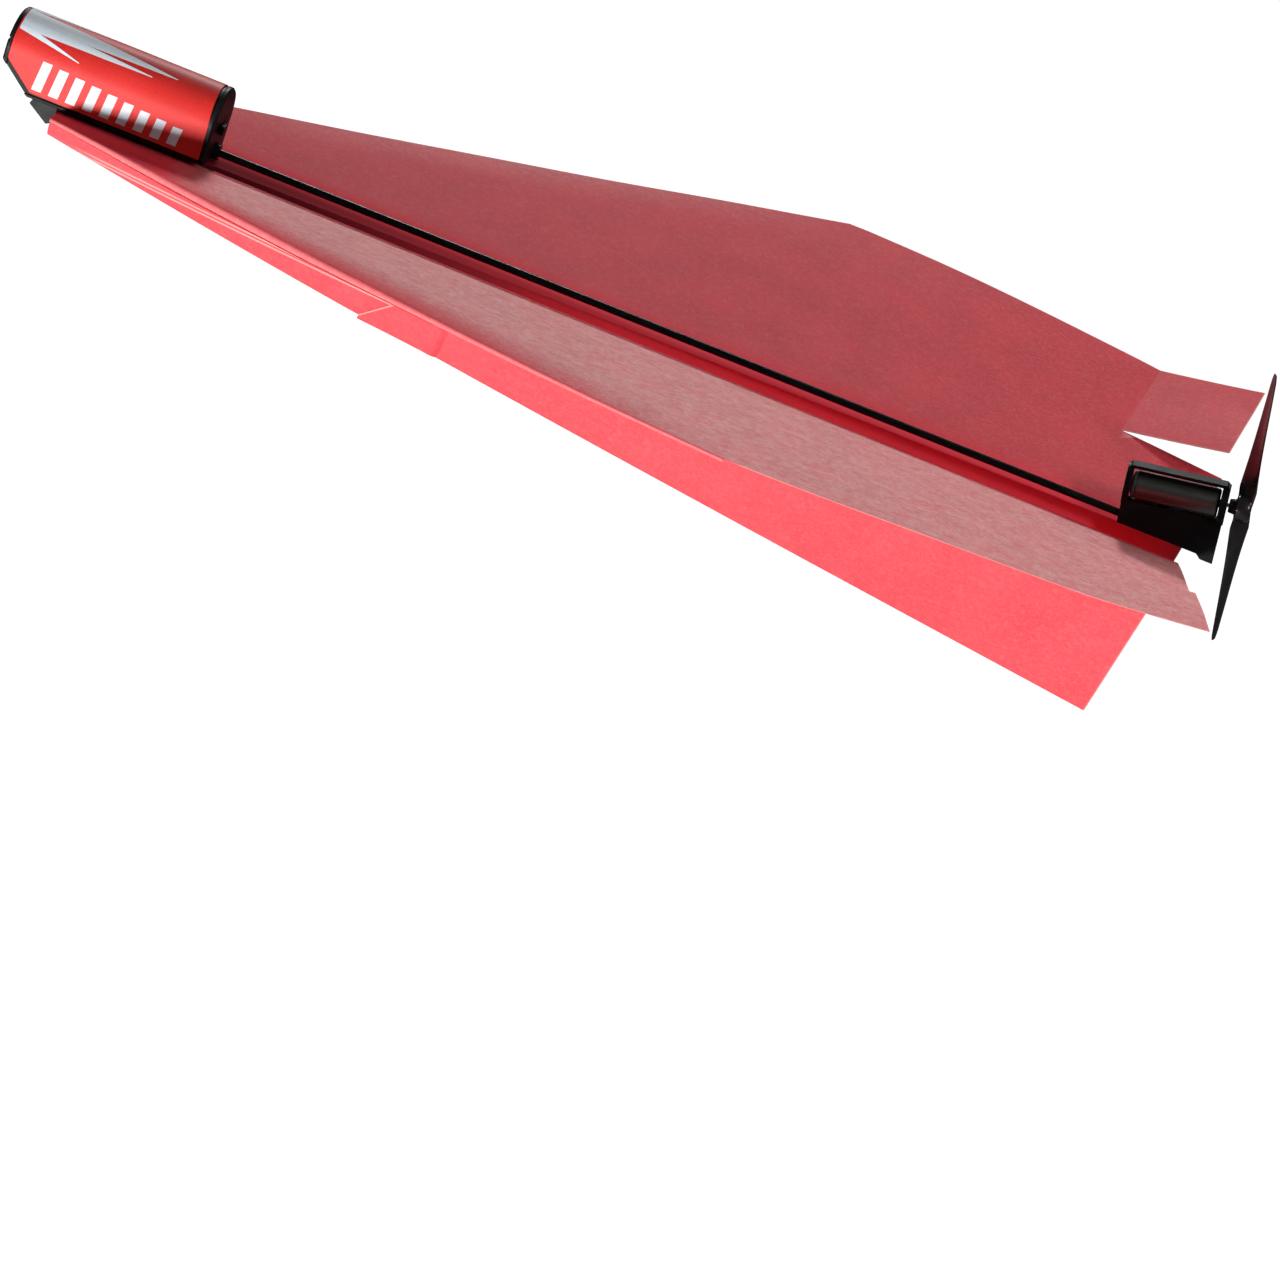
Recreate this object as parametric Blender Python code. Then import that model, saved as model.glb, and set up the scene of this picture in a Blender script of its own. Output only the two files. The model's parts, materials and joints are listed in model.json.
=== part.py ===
"""Folded paper aeroplane carrying a clip-on electric power kit.

Frame: the origin is the middle of the keel's bottom crease, +X runs aft along that crease,
+Y is starboard and +Z is up. Everything is in metres.

The sheet is described flattened: x is measured aft from the nose and y away from the bottom
crease. Each panel of the sheet is its own solid, because each one turns about a crease.
The kit's parts are placed from the nose end of the bottom crease, like the sheet.
"""
import math

import bmesh
import bpy
from mathutils import Matrix, Vector

MM = 0.001

# ---------------------------------------------------------------- driving dimensions: the sheet
PAPER_LENGTH = 200.0 * MM
HALF_SHEET = 81.5 * MM              # bottom crease to wing tip, flattened
NOSE_HALF_WIDTH = 17.0 * MM         # blunt nose, flattened
CORNER_FROM_NOSE = 120.0 * MM       # where the swept leading edge ends
KEEL_NOSE_HEIGHT = 5.5 * MM
KEEL_TAIL_HEIGHT = 33.3 * MM
KEEL_HALF_ANGLE = math.radians(6.5)
DIHEDRAL = math.radians(10.7)
ELEVON_CHORD = 19.0 * MM
ELEVON_INNER = 58.0 * MM            # slit beside the elevon, flattened y
ELEVON_TRIM = {"port": math.radians(3.3), "starboard": math.radians(14.2)}
WALL_THICKNESS = 0.25 * MM
WING_THICKNESS = 0.35 * MM
CREASE_GAP = 0.12 * MM              # each panel stops this far short of its crease
TONGUE_START = 60.0 * MM            # apex of the small lock triangle
TONGUE_LENGTH = 14.0 * MM
TONGUE_THICKNESS = 0.30 * MM

# ---------------------------------------------------------------- driving dimensions: the kit
TUBE_HEIGHT = 8.5 * MM              # tube axis above the bottom crease, at the nose
TUBE_RADIUS = 0.65 * MM
TUBE_BORE = 0.45 * MM
TUBE_FRONT = 18.2 * MM              # along the tube axis
TUBE_REAR = 195.0 * MM
WIRE_RADIUS = 0.14 * MM
WIRE_OFFSET = 0.20 * MM
WIRE_SLOT_HALF = 0.5 * MM

NOSE_FRONT = -11.2 * MM             # along the tube axis
NOSE_REAR = 26.4 * MM
NOSE_RADIUS = 5.8 * MM              # outside of the arched roof, and half the width
ARCH_CENTRE = 5.6 * MM              # arch axis above the tube axis
NOSE_WALL = 0.8 * MM
LABEL_THICKNESS = 0.22 * MM
CLEARANCE = 0.05 * MM
SEAM = 0.1 * MM
BASE_THICKNESS = 0.5 * MM
BASE_FRONT_DROP = -1.25 * MM        # underside of the base at its front and rear ends
BASE_REAR_DROP = -1.05 * MM
FRONT_RIM = 0.9 * MM                # raised rims of the shell, in front of and behind the label
REAR_RIM = 1.0 * MM
LABEL_GAP = 0.1 * MM
LABEL_FOOT_GAP = 0.45 * MM          # the label ends this far above the shell's foot
CHIN_TOP = (-11.2 * MM, 3.7 * MM)   # the sloping chin runs between these two points
CHIN_BOTTOM = (-5.3 * MM, -1.35 * MM)
CHIN_RIM = 1.0 * MM                 # bare strip between the chin and the label
END_BEVEL = 0.35 * MM
BOSS_RADIUS = 1.35 * MM             # boss round the front end of the tube

CAPACITOR_RADIUS = 3.9 * MM
CAPACITOR_FRONT = -5.8 * MM
CAPACITOR_REAR = 13.6 * MM
LEAD_OFFSET = 1.6 * MM
BOARD_FRONT = 14.9 * MM
BOARD_REAR = 24.3 * MM
BOARD_HALF_WIDTH = 4.0 * MM
BOARD_TOP = 2.8 * MM
BOARD_THICKNESS = 0.8 * MM
SWITCH_HEIGHT = 4.5 * MM            # middle of the slider
SOCKET_HEIGHT = 7.3 * MM            # middle of the charging socket
LED_HEIGHT = 9.55 * MM
LED_RADIUS = 0.58 * MM

PROP_CENTRE = (204.3 * MM, 0.0, 45.5 * MM)
MOTOR_TILT = math.radians(17.5)
PROP_RADIUS = 23.85 * MM
PROP_PITCH = 27.0 * MM
SHAFT_RADIUS = 0.35 * MM
CAN_RADIUS = 2.45 * MM
CAN_FRONT = -17.4 * MM              # along the motor axis, from the propeller's middle
CAN_REAR = -3.5 * MM
POD_FRONT = -19.3 * MM
POD_REAR = -2.2 * MM
POD_RING_RADIUS = 3.5 * MM
POD_HALF_WIDTH = 1.2 * MM
CAN_WALL = 0.22 * MM
BUSH_RADIUS = 0.7 * MM
COIL_FRONT = -15.4 * MM
COIL_REAR = -4.9 * MM
COIL_RADIUS = 1.95 * MM
COIL_WALL = 0.33 * MM
MAGNET_RADIUS = 1.45 * MM
MAGNET_BORE = 0.6 * MM
HUB_RADIUS = 2.2 * MM
HUB_REAR = 1.86 * MM

ROUND_STEPS = 24
SIDES = {"port": -1.0, "starboard": 1.0}
MANY_CUTS = ("nose_shell", "motor_pod")   # the EXACT solver leaves these two with open edges

# ---------------------------------------------------------------- values worked out from them
CREASE_ANGLE = math.atan2(KEEL_TAIL_HEIGHT - KEEL_NOSE_HEIGHT, PAPER_LENGTH)
TUBE_TILT = math.atan(math.tan(CREASE_ANGLE) * math.cos(KEEL_HALF_ANGLE))


# ---------------------------------------------------------------- mesh helpers
def clear_scene():
    """Remove whatever the open file holds."""
    for thing in list(bpy.data.objects):
        bpy.data.objects.remove(thing, do_unlink=True)


def finish_material(name, colour, roughness, metallic=0.0):
    """Make or reuse a plain Principled BSDF material."""
    found = bpy.data.materials.get(name)
    if found:
        return found
    made = bpy.data.materials.new(name)
    made.use_nodes = True
    shader = made.node_tree.nodes["Principled BSDF"]
    shader.inputs["Base Color"].default_value = (*colour, 1.0)
    shader.inputs["Roughness"].default_value = roughness
    shader.inputs["Metallic"].default_value = metallic
    return made


def paper():
    return finish_material("red_paper", (0.78, 0.13, 0.16), 0.85)


def black_plastic():
    return finish_material("black_plastic", (0.012, 0.013, 0.014), 0.35)


def add_empty(name, parent=None, location=(0.0, 0.0, 0.0), rotation=None):
    """Make an empty; rotation is a 3 x 3 or 4 x 4 matrix."""
    made = bpy.data.objects.new(name, None)
    made.empty_display_size = 5.0 * MM
    bpy.context.scene.collection.objects.link(made)
    made.parent = parent
    made.location = location
    if rotation is not None:
        made.rotation_euler = rotation.to_euler()
    return made


def add_object(name, mesh_data, material, parent=None, location=(0.0, 0.0, 0.0), smooth=False):
    """Turn a bmesh into a named object with outward faces."""
    bmesh.ops.recalc_face_normals(mesh_data, faces=mesh_data.faces)
    mesh = bpy.data.meshes.new(name)
    mesh_data.to_mesh(mesh)
    mesh_data.free()
    mesh.materials.append(material)
    if smooth:
        mesh.shade_smooth()
        mesh.set_sharp_from_angle(angle=math.radians(35.0))
    made = bpy.data.objects.new(name, mesh)
    bpy.context.scene.collection.objects.link(made)
    made.parent = parent
    made.location = location
    return made


def loft(rings):
    """Skin a list of closed rings, which have equally many points, and cap both ends."""
    made = bmesh.new()
    rows = [[made.verts.new(point) for point in ring] for ring in rings]
    count = len(rows[0])
    for near, far in zip(rows, rows[1:]):
        for index in range(count):
            after = (index + 1) % count
            made.faces.new((near[index], near[after], far[after], far[index]))
    made.faces.new(rows[0])
    made.faces.new(rows[-1])
    return made


def plate(outline, low, high):
    """Extrude an outline in the local XY plane from z = low to z = high."""
    return loft([[(x, y, z) for x, y in outline] for z in (low, high)])


def side_plate(outline, half_width):
    """Extrude an outline in the local XZ plane to both sides."""
    return loft([[(x, y, z) for x, z in outline] for y in (-half_width, half_width)])


def block(x_range, y_range, z_range):
    """A plain box between three ranges."""
    corners = [(x_range[0], y_range[0]), (x_range[1], y_range[0]),
               (x_range[1], y_range[1]), (x_range[0], y_range[1])]
    return plate(corners, z_range[0], z_range[1])


def turned(profile, steps=ROUND_STEPS, centre=(0.0, 0.0)):
    """Revolve (x, radius) points about a line along X through the centre (y, z).

    A profile that starts and ends at radius 0 gives a solid, any other is closed on itself.
    """
    made = bmesh.new()
    rows = []
    for x, radius in profile:
        if radius == 0.0:
            rows.append([made.verts.new((x, centre[0], centre[1]))])
            continue
        ring = []
        for step in range(steps):
            turn = 2.0 * math.pi * step / steps
            ring.append(made.verts.new((x, centre[0] + radius * math.cos(turn),
                                        centre[1] + radius * math.sin(turn))))
        rows.append(ring)
    pairs = list(zip(rows, rows[1:]))
    if profile[0][1] > 0.0:
        pairs.append((rows[-1], rows[0]))
    for near, far in pairs:
        for step in range(steps):
            after = (step + 1) % steps
            corners = [near[step % len(near)], near[after % len(near)],
                       far[after % len(far)], far[step % len(far)]]
            unique = list(dict.fromkeys(corners))
            made.faces.new(unique)
    return made


def around(middle, half):
    """Range of a block that reaches this far to both sides of its middle."""
    return (middle - half, middle + half)


def rod(front, rear, radius, steps=ROUND_STEPS, centre=(0.0, 0.0)):
    """A solid cylinder along X."""
    return turned([(front, 0.0), (front, radius), (rear, radius), (rear, 0.0)], steps, centre)


def ring(front, rear, bore, radius, steps=ROUND_STEPS):
    """A tube along X."""
    return turned([(front, bore), (front, radius), (rear, radius), (rear, bore)], steps)


def boolean(target, operation, name, mesh_data, parent=None):
    """Cut a hidden helper solid from the target, or join it on."""
    helper = add_object(name, mesh_data, target.data.materials[0], parent)
    helper.hide_render = True
    helper.display_type = "WIRE"
    step = target.modifiers.new(name, "BOOLEAN")
    step.operation = operation
    step.solver = "MANIFOLD" if target.name in MANY_CUTS else "EXACT"
    step.object = helper


def arch_outline(radius, bottom, steps=ROUND_STEPS):
    """Half-round roof on straight sides, as (y, z) points from starboard foot to port foot."""
    points = [(radius, bottom)]
    for step in range(steps + 1):
        turn = math.pi * step / steps
        points.append((radius * math.cos(turn), ARCH_CENTRE + radius * math.sin(turn)))
    points.append((-radius, bottom))
    return points


# ---------------------------------------------------------------- the folded sheet
def keel_height(x):
    """Height of the wing crease above the bottom crease, measured up the wall."""
    return KEEL_NOSE_HEIGHT + x * math.tan(CREASE_ANGLE)


def on_wing(x, y):
    """Flattened sheet point as (along the wing crease, away from it)."""
    rise = y - KEEL_NOSE_HEIGHT
    along = x * math.cos(CREASE_ANGLE) + rise * math.sin(CREASE_ANGLE)
    away = rise * math.cos(CREASE_ANGLE) - x * math.sin(CREASE_ANGLE)
    return along, away


def build_keel_wall(side, crease):
    """One wall of the V keel: outer face on the hinge plane, inner face trimmed at the middle."""
    sign = SIDES[side]
    middle_gap = 0.01 * MM
    foot = 0.5 * MM
    foot_thickness = foot * math.tan(KEEL_HALF_ANGLE) - middle_gap
    full_height = (WALL_THICKNESS + middle_gap) / math.tan(KEEL_HALF_ANGLE)
    rings = []
    for x in (0.0, PAPER_LENGTH):
        top = keel_height(x) - CREASE_GAP
        section = [(0.0, foot), (0.0, top), (-WALL_THICKNESS, top),
                   (-WALL_THICKNESS, full_height), (-foot_thickness, foot)]
        rings.append([(x, sign * y, z) for y, z in section])
    add_object("keel_wall_" + side, loft(rings), paper(), crease)


def build_lock_tongue(side, crease):
    """Half of the small lock triangle, which lies against the outside of its keel wall."""
    sign = SIDES[side]
    foot = 0.3 * MM
    outline = [(TONGUE_START, foot), (TONGUE_START + TONGUE_LENGTH, foot),
               (TONGUE_START + TONGUE_LENGTH, TONGUE_LENGTH)]
    rings = []
    for y in (CLEARANCE, CLEARANCE + TONGUE_THICKNESS):
        rings.append([(x, sign * y, z) for x, z in outline])
    add_object("lock_tongue_" + side, loft(rings), paper(), crease)


def build_wing(side, crease):
    """Wing panel, with its lower face on the hinge plane and a notch where the elevon sits."""
    sign = SIDES[side]
    hinge_x = PAPER_LENGTH - ELEVON_CHORD - CREASE_GAP
    slit_y = ELEVON_INNER - CREASE_GAP
    sheet_points = [(0.0, NOSE_HALF_WIDTH), (CORNER_FROM_NOSE, HALF_SHEET),
                    (hinge_x, HALF_SHEET), (hinge_x, slit_y), (PAPER_LENGTH, slit_y)]
    outline = [on_wing(x, y) for x, y in sheet_points]
    tail_along = on_wing(PAPER_LENGTH, keel_height(PAPER_LENGTH))[0]
    outline.append((tail_along, CREASE_GAP))
    outline.append((0.0, CREASE_GAP))
    mirrored = [(along, sign * away) for along, away in outline]
    add_object("wing_" + side, plate(mirrored, 0.0, WING_THICKNESS), paper(), crease)


def build_elevon(side, crease):
    """Trailing-edge flap, bent at a crease along its front edge."""
    sign = SIDES[side]
    span = HALF_SHEET - ELEVON_INNER
    y_range = sorted((sign * CREASE_GAP, sign * span))
    half = WING_THICKNESS / 2.0
    add_object("elevon_" + side, block((CREASE_GAP, ELEVON_CHORD), y_range, (-half, half)),
               paper(), crease)


def build_sheet_side(side, nose_point):
    """Creases as nested empties, each carrying the panel that turns about it."""
    sign = SIDES[side]
    keel_crease = add_empty("keel_crease_" + side, nose_point,
                            rotation=Matrix.Rotation(-sign * KEEL_HALF_ANGLE, 3, "X"))
    build_keel_wall(side, keel_crease)
    build_lock_tongue(side, keel_crease)

    wing_turn = Matrix.Rotation(-CREASE_ANGLE, 3, "Y")
    wing_turn = wing_turn @ Matrix.Rotation(sign * (KEEL_HALF_ANGLE + DIHEDRAL), 3, "X")
    wing_crease = add_empty("wing_crease_" + side, keel_crease,
                            (0.0, 0.0, KEEL_NOSE_HEIGHT), wing_turn)
    build_wing(side, wing_crease)

    along, away = on_wing(PAPER_LENGTH - ELEVON_CHORD, ELEVON_INNER)
    elevon_turn = Matrix.Rotation(-sign * CREASE_ANGLE, 3, "Z")
    elevon_turn = elevon_turn @ Matrix.Rotation(-ELEVON_TRIM[side], 3, "Y")
    elevon_crease = add_empty("elevon_crease_" + side, wing_crease,
                              (along, sign * away, WING_THICKNESS / 2.0), elevon_turn)
    build_elevon(side, elevon_crease)


# ---------------------------------------------------------------- the nose module
def base_underside(along):
    """Height of the base's underside, which rises slightly towards the rear."""
    share = (along - CHIN_BOTTOM[0]) / (NOSE_REAR - CHIN_BOTTOM[0])
    return BASE_FRONT_DROP + share * (BASE_REAR_DROP - BASE_FRONT_DROP)


def chin_cutter(inset):
    """Wedge that takes away everything in front of the sloping chin, moved in by inset."""
    slope = Vector((CHIN_BOTTOM[0] - CHIN_TOP[0], CHIN_BOTTOM[1] - CHIN_TOP[1])).normalized()
    inward = Vector((-slope.y, slope.x)) * inset
    reach = slope * 4.0 * MM
    upper = Vector(CHIN_TOP) + inward - reach
    lower = Vector(CHIN_BOTTOM) + inward + reach
    return side_plate([tuple(upper), tuple(lower), (upper.x, lower.y)], 8.0 * MM)


def shell_foot(along):
    return base_underside(along) + BASE_THICKNESS + SEAM


def build_nose_shell(line):
    """Arched housing, open below, with a recess for the label and end rims."""
    recessed = NOSE_RADIUS - LABEL_THICKNESS - CLEARANCE
    stations = [(NOSE_FRONT, NOSE_RADIUS - END_BEVEL), (NOSE_FRONT + END_BEVEL, NOSE_RADIUS),
                (NOSE_FRONT + FRONT_RIM, NOSE_RADIUS), (NOSE_FRONT + FRONT_RIM, recessed),
                (NOSE_REAR - REAR_RIM, recessed), (NOSE_REAR - REAR_RIM, NOSE_RADIUS),
                (NOSE_REAR - END_BEVEL, NOSE_RADIUS), (NOSE_REAR, NOSE_RADIUS - END_BEVEL)]
    rings = [[(x, y, z) for y, z in arch_outline(radius, shell_foot(x))]
             for x, radius in stations]
    shell = add_object("nose_shell", loft(rings), black_plastic(), line, smooth=True)

    inner = recessed - NOSE_WALL
    chin_floor = 4.0 * MM
    open_foot = -3.0 * MM
    hollow = [(NOSE_FRONT + 1.4 * MM, chin_floor), (CHIN_BOTTOM[0], -0.05 * MM),
              (CHIN_BOTTOM[0] + 0.1 * MM, open_foot), (NOSE_REAR - 0.9 * MM, open_foot)]
    rings = [[(x, y, z) for y, z in arch_outline(inner, foot)] for x, foot in hollow]
    boolean(shell, "DIFFERENCE", "cut_shell_hollow", loft(rings), line)
    boolean(shell, "DIFFERENCE", "cut_shell_chin", chin_cutter(0.0), line)
    ahead = NOSE_FRONT - 1.0 * MM
    behind = NOSE_REAR + 1.0 * MM
    front_depth = NOSE_FRONT + 2.5 * MM
    boolean(shell, "DIFFERENCE", "cut_shell_groove",
            block((ahead, NOSE_FRONT + 0.45 * MM), around(0.0, 7.0 * MM),
                  around(SOCKET_HEIGHT, 0.25 * MM)), line)
    boolean(shell, "DIFFERENCE", "cut_shell_socket",
            block((ahead, front_depth), around(0.0, 2.6 * MM), around(SOCKET_HEIGHT, 1.3 * MM)),
            line)
    boolean(shell, "DIFFERENCE", "cut_shell_led",
            rod(ahead, front_depth, LED_RADIUS + 0.07 * MM, 16, (0.0, LED_HEIGHT)), line)
    boolean(shell, "DIFFERENCE", "cut_shell_switch",
            block((NOSE_REAR - 2.5 * MM, behind), around(0.0, 2.2 * MM),
                  around(SWITCH_HEIGHT, 0.65 * MM)), line)
    boolean(shell, "DIFFERENCE", "cut_shell_boss",
            rod(NOSE_REAR - 4.0 * MM, behind, BOSS_RADIUS + 0.25 * MM, 24), line)


def build_nose_label(line):
    """Thin wrap-around label in the recess of the shell."""
    outer = NOSE_RADIUS
    inner = NOSE_RADIUS - LABEL_THICKNESS
    rings = []
    for x in (NOSE_FRONT + FRONT_RIM + LABEL_GAP, NOSE_REAR - REAR_RIM - LABEL_GAP):
        foot = shell_foot(x) + LABEL_FOOT_GAP
        section = arch_outline(outer, foot) + arch_outline(inner, foot)[::-1]
        rings.append([(x, y, z) for y, z in section])
    red = finish_material("label_film", (0.75, 0.03, 0.03), 0.3)
    label = add_object("nose_label", loft(rings), red, line, smooth=True)
    boolean(label, "DIFFERENCE", "cut_label_chin", chin_cutter(CHIN_RIM), line)


def base_section(along, height):
    """Base plate section: flat top, chamfered lower edges, (y, z) points."""
    low = base_underside(along)
    edge = 0.2 * MM
    return [(NOSE_RADIUS, low + height), (NOSE_RADIUS, low + edge), (NOSE_RADIUS - edge, low),
            (-NOSE_RADIUS + edge, low), (-NOSE_RADIUS, low + edge), (-NOSE_RADIUS, low + height)]


def build_nose_base(line):
    """Floor of the module, with a boss that takes the front end of the tube."""
    rings = [[(x, y, z) for y, z in base_section(x, BASE_THICKNESS)]
             for x in (CHIN_BOTTOM[0] - 2.0 * MM, NOSE_REAR)]
    base = add_object("nose_base", loft(rings), black_plastic(), line, smooth=True)
    boss_front = TUBE_FRONT - 0.7 * MM
    boolean(base, "UNION", "add_base_boss", rod(boss_front, NOSE_REAR + 1.0 * MM, BOSS_RADIUS, 24),
            line)
    boolean(base, "DIFFERENCE", "cut_base_chin", chin_cutter(0.0), line)
    boolean(base, "DIFFERENCE", "cut_base_bore",
            rod(TUBE_FRONT - 0.1 * MM, NOSE_REAR + 2.0 * MM, TUBE_RADIUS + CLEARANCE, 24), line)
    boolean(base, "DIFFERENCE", "cut_base_wire_slot",
            block((boss_front - 2.6 * MM, TUBE_FRONT), around(0.0, WIRE_SLOT_HALF),
                  (-0.24 * MM, 3.0 * MM)), line)


def build_nose_clip(nose_point):
    """Gusset in front of the paper and a thin blade that slips down inside the V keel."""
    gusset = [(-4.6, 6.3), (-5.3, 3.65), (-1.36, 1.7), (-0.5, 2.4), (-0.5, 7.0)]
    clip = add_object("nose_clip", side_plate([(x * MM, z * MM) for x, z in gusset], 0.8 * MM),
                      black_plastic(), nose_point)
    blade = [(-1.5, 6.75), (-1.5, 4.8), (23.0, 4.8), (24.0, 5.8), (24.0, 10.1)]
    boolean(clip, "UNION", "add_clip_blade",
            side_plate([(x * MM, z * MM) for x, z in blade], 0.2 * MM), nose_point)


def build_supercapacitor(line):
    """Can with a rolled groove near its base, and two leads towards the board."""
    radius = CAPACITOR_RADIUS
    rear = CAPACITOR_REAR
    groove = rear - 2.0 * MM
    profile = [(CAPACITOR_FRONT, 0.0), (CAPACITOR_FRONT, radius - 0.4 * MM),
               (CAPACITOR_FRONT + 0.4 * MM, radius), (groove - 0.6 * MM, radius),
               (groove, radius - 0.35 * MM), (groove + 0.6 * MM, radius),
               (rear - 0.3 * MM, radius), (rear, radius - 0.3 * MM), (rear, 0.0)]
    sleeve = finish_material("capacitor_sleeve", (0.02, 0.03, 0.05), 0.4)
    add_object("supercapacitor",
               turned(profile, ROUND_STEPS, (0.0, ARCH_CENTRE + CLEARANCE)), sleeve, line,
               smooth=True)
    tin = finish_material("tinned_wire", (0.7, 0.7, 0.7), 0.3, 1.0)
    lead_height = BOARD_TOP + 0.55 * MM
    for name, sign in (("capacitor_lead_negative", -1.0), ("capacitor_lead_positive", 1.0)):
        add_object(name, rod(rear + CLEARANCE, rear + 2.6 * MM, 0.25 * MM, 12,
                             (sign * LEAD_OFFSET, lead_height)), tin, line, smooth=True)


def build_board(line):
    """Circuit board and its control chip."""
    green = finish_material("circuit_green", (0.01, 0.12, 0.05), 0.4)
    add_object("circuit_board",
               block((BOARD_FRONT, BOARD_REAR), around(0.0, BOARD_HALF_WIDTH),
                     (BOARD_TOP - BOARD_THICKNESS, BOARD_TOP)), green, line)
    resin = finish_material("chip_resin", (0.015, 0.015, 0.015), 0.5)
    chip_foot = BOARD_TOP + CLEARANCE
    add_object("control_chip",
               block(around(BOARD_FRONT + 3.4 * MM, 1.5 * MM), around(0.0, 1.5 * MM),
                     (chip_foot, chip_foot + 0.9 * MM)), resin, line)


def build_switch(line):
    """Slide switch at the rear of the board: a steel body and a slider with a finger nub."""
    steel = finish_material("stamped_steel", (0.55, 0.55, 0.56), 0.35, 1.0)
    body = add_object("switch_body",
                      block((BOARD_REAR - 3.3 * MM, BOARD_REAR), around(0.0, 2.6 * MM),
                            (BOARD_TOP + CLEARANCE, SWITCH_HEIGHT + 1.3 * MM)), steel, line)
    boolean(body, "DIFFERENCE", "cut_switch_track",
            block((BOARD_REAR - 1.1 * MM, BOARD_REAR + 0.7 * MM), around(0.0, 2.0 * MM),
                  around(SWITCH_HEIGHT, 0.6 * MM)), line)

    home = Vector((BOARD_REAR + 0.6 * MM, -1.0 * MM, SWITCH_HEIGHT))
    slider = add_object("switch_slider", block((-1.5 * MM, 1.7 * MM), around(0.0, 0.7 * MM),
                                               around(0.0, 0.5 * MM)),
                        black_plastic(), line, home)
    nub = add_empty("switch_nub", line, home)
    boolean(slider, "UNION", "add_slider_nub",
            block((1.65 * MM, 2.5 * MM), around(0.0, 0.9 * MM), around(0.0, 0.8 * MM)), nub)


def build_charging_socket(line):
    front = NOSE_FRONT + 0.2 * MM
    socket = add_object("charging_socket",
                        block((front, front + 4.6 * MM), around(0.0, 2.5 * MM),
                              around(SOCKET_HEIGHT, 1.2 * MM)),
                        finish_material("chip_resin", (0.015, 0.015, 0.015), 0.5), line)
    boolean(socket, "DIFFERENCE", "cut_socket_mouth",
            block((front - 1.0 * MM, front + 3.8 * MM), around(0.0, 2.0 * MM),
                  around(SOCKET_HEIGHT, 0.7 * MM)), line)


def build_status_led(line):
    """Round-nosed lens that looks out above the charging socket."""
    lens = finish_material("led_lens", (0.6, 0.03, 0.02), 0.15)
    dome = 0.45 * MM
    shoulder = NOSE_FRONT + 0.2 * MM
    rear = NOSE_FRONT + 1.6 * MM
    profile = [(shoulder - dome, 0.0)]
    for step in range(1, 5):
        turn = math.pi / 2.0 * step / 4
        profile.append((shoulder - dome * math.cos(turn), LED_RADIUS * math.sin(turn)))
    profile += [(rear, LED_RADIUS), (rear, 0.0)]
    add_object("status_led", turned(profile, 16, (0.0, LED_HEIGHT)), lens, line, smooth=True)


# ---------------------------------------------------------------- tube and wires
def motor_matrix():
    """Motor axis frame: X aft along the shaft, Z up, origin in the middle of the propeller."""
    return Matrix.Translation(PROP_CENTRE) @ Matrix.Rotation(-MOTOR_TILT, 4, "Y")


def line_matrix():
    """Tube axis frame: X aft along the tube, Z up."""
    return Matrix.Translation((0.0, 0.0, TUBE_HEIGHT)) @ Matrix.Rotation(-TUBE_TILT, 4, "Y")


def line_to_motor(along, up):
    """A point of the tube's frame, as (x, z) in the motor's frame."""
    point = motor_matrix().inverted() @ line_matrix() @ Vector((along, 0.0, up))
    return point.x, point.z


def motor_to_line(along, up):
    """A point of the motor's frame, as (x, z) in the tube's frame."""
    point = line_matrix().inverted() @ motor_matrix() @ Vector((along, 0.0, up))
    return point.x, point.z


def build_tube(line):
    carbon = finish_material("carbon_fibre", (0.01, 0.01, 0.012), 0.3)
    add_object("carbon_tube", ring(TUBE_FRONT, TUBE_REAR, TUBE_BORE, TUBE_RADIUS, 20), carbon,
               line, smooth=True)


def build_wire(name, y, colour, line):
    """Wire from the board, through the tube, to the motor's end cap."""
    path = [(15.3 * MM, 1.75 * MM), (15.6 * MM, 0.9 * MM), (16.4 * MM, 0.2 * MM),
            (18.0 * MM, 0.0), (TUBE_REAR - 0.5 * MM, 0.0), (TUBE_REAR + 0.9 * MM, 0.35 * MM)]
    path += [motor_to_line(-12.6 * MM, -4.2 * MM), motor_to_line(-13.5 * MM, -2.85 * MM),
             motor_to_line(-17.7 * MM, -2.85 * MM)]
    points = [Vector((x, z)) for x, z in path]
    rings = []
    for index, point in enumerate(points):
        before = points[max(index - 1, 0)]
        after = points[min(index + 1, len(points) - 1)]
        back = (point - before).normalized() if index else (after - point).normalized()
        ahead = (after - point).normalized() if index < len(points) - 1 else back
        bisector = (back + ahead).normalized()
        normal = Vector((-bisector.y, bisector.x)) / max(bisector.dot(back), 0.6)
        section = []
        for step in range(8):
            turn = 2.0 * math.pi * step / 8
            lift = WIRE_RADIUS * math.sin(turn)
            section.append((point.x + normal.x * lift, y + WIRE_RADIUS * math.cos(turn),
                            point.y + normal.y * lift))
        rings.append(section)
    insulation = finish_material(name + "_insulation", colour, 0.45)
    add_object(name, loft(rings), insulation, line, smooth=True)


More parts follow.
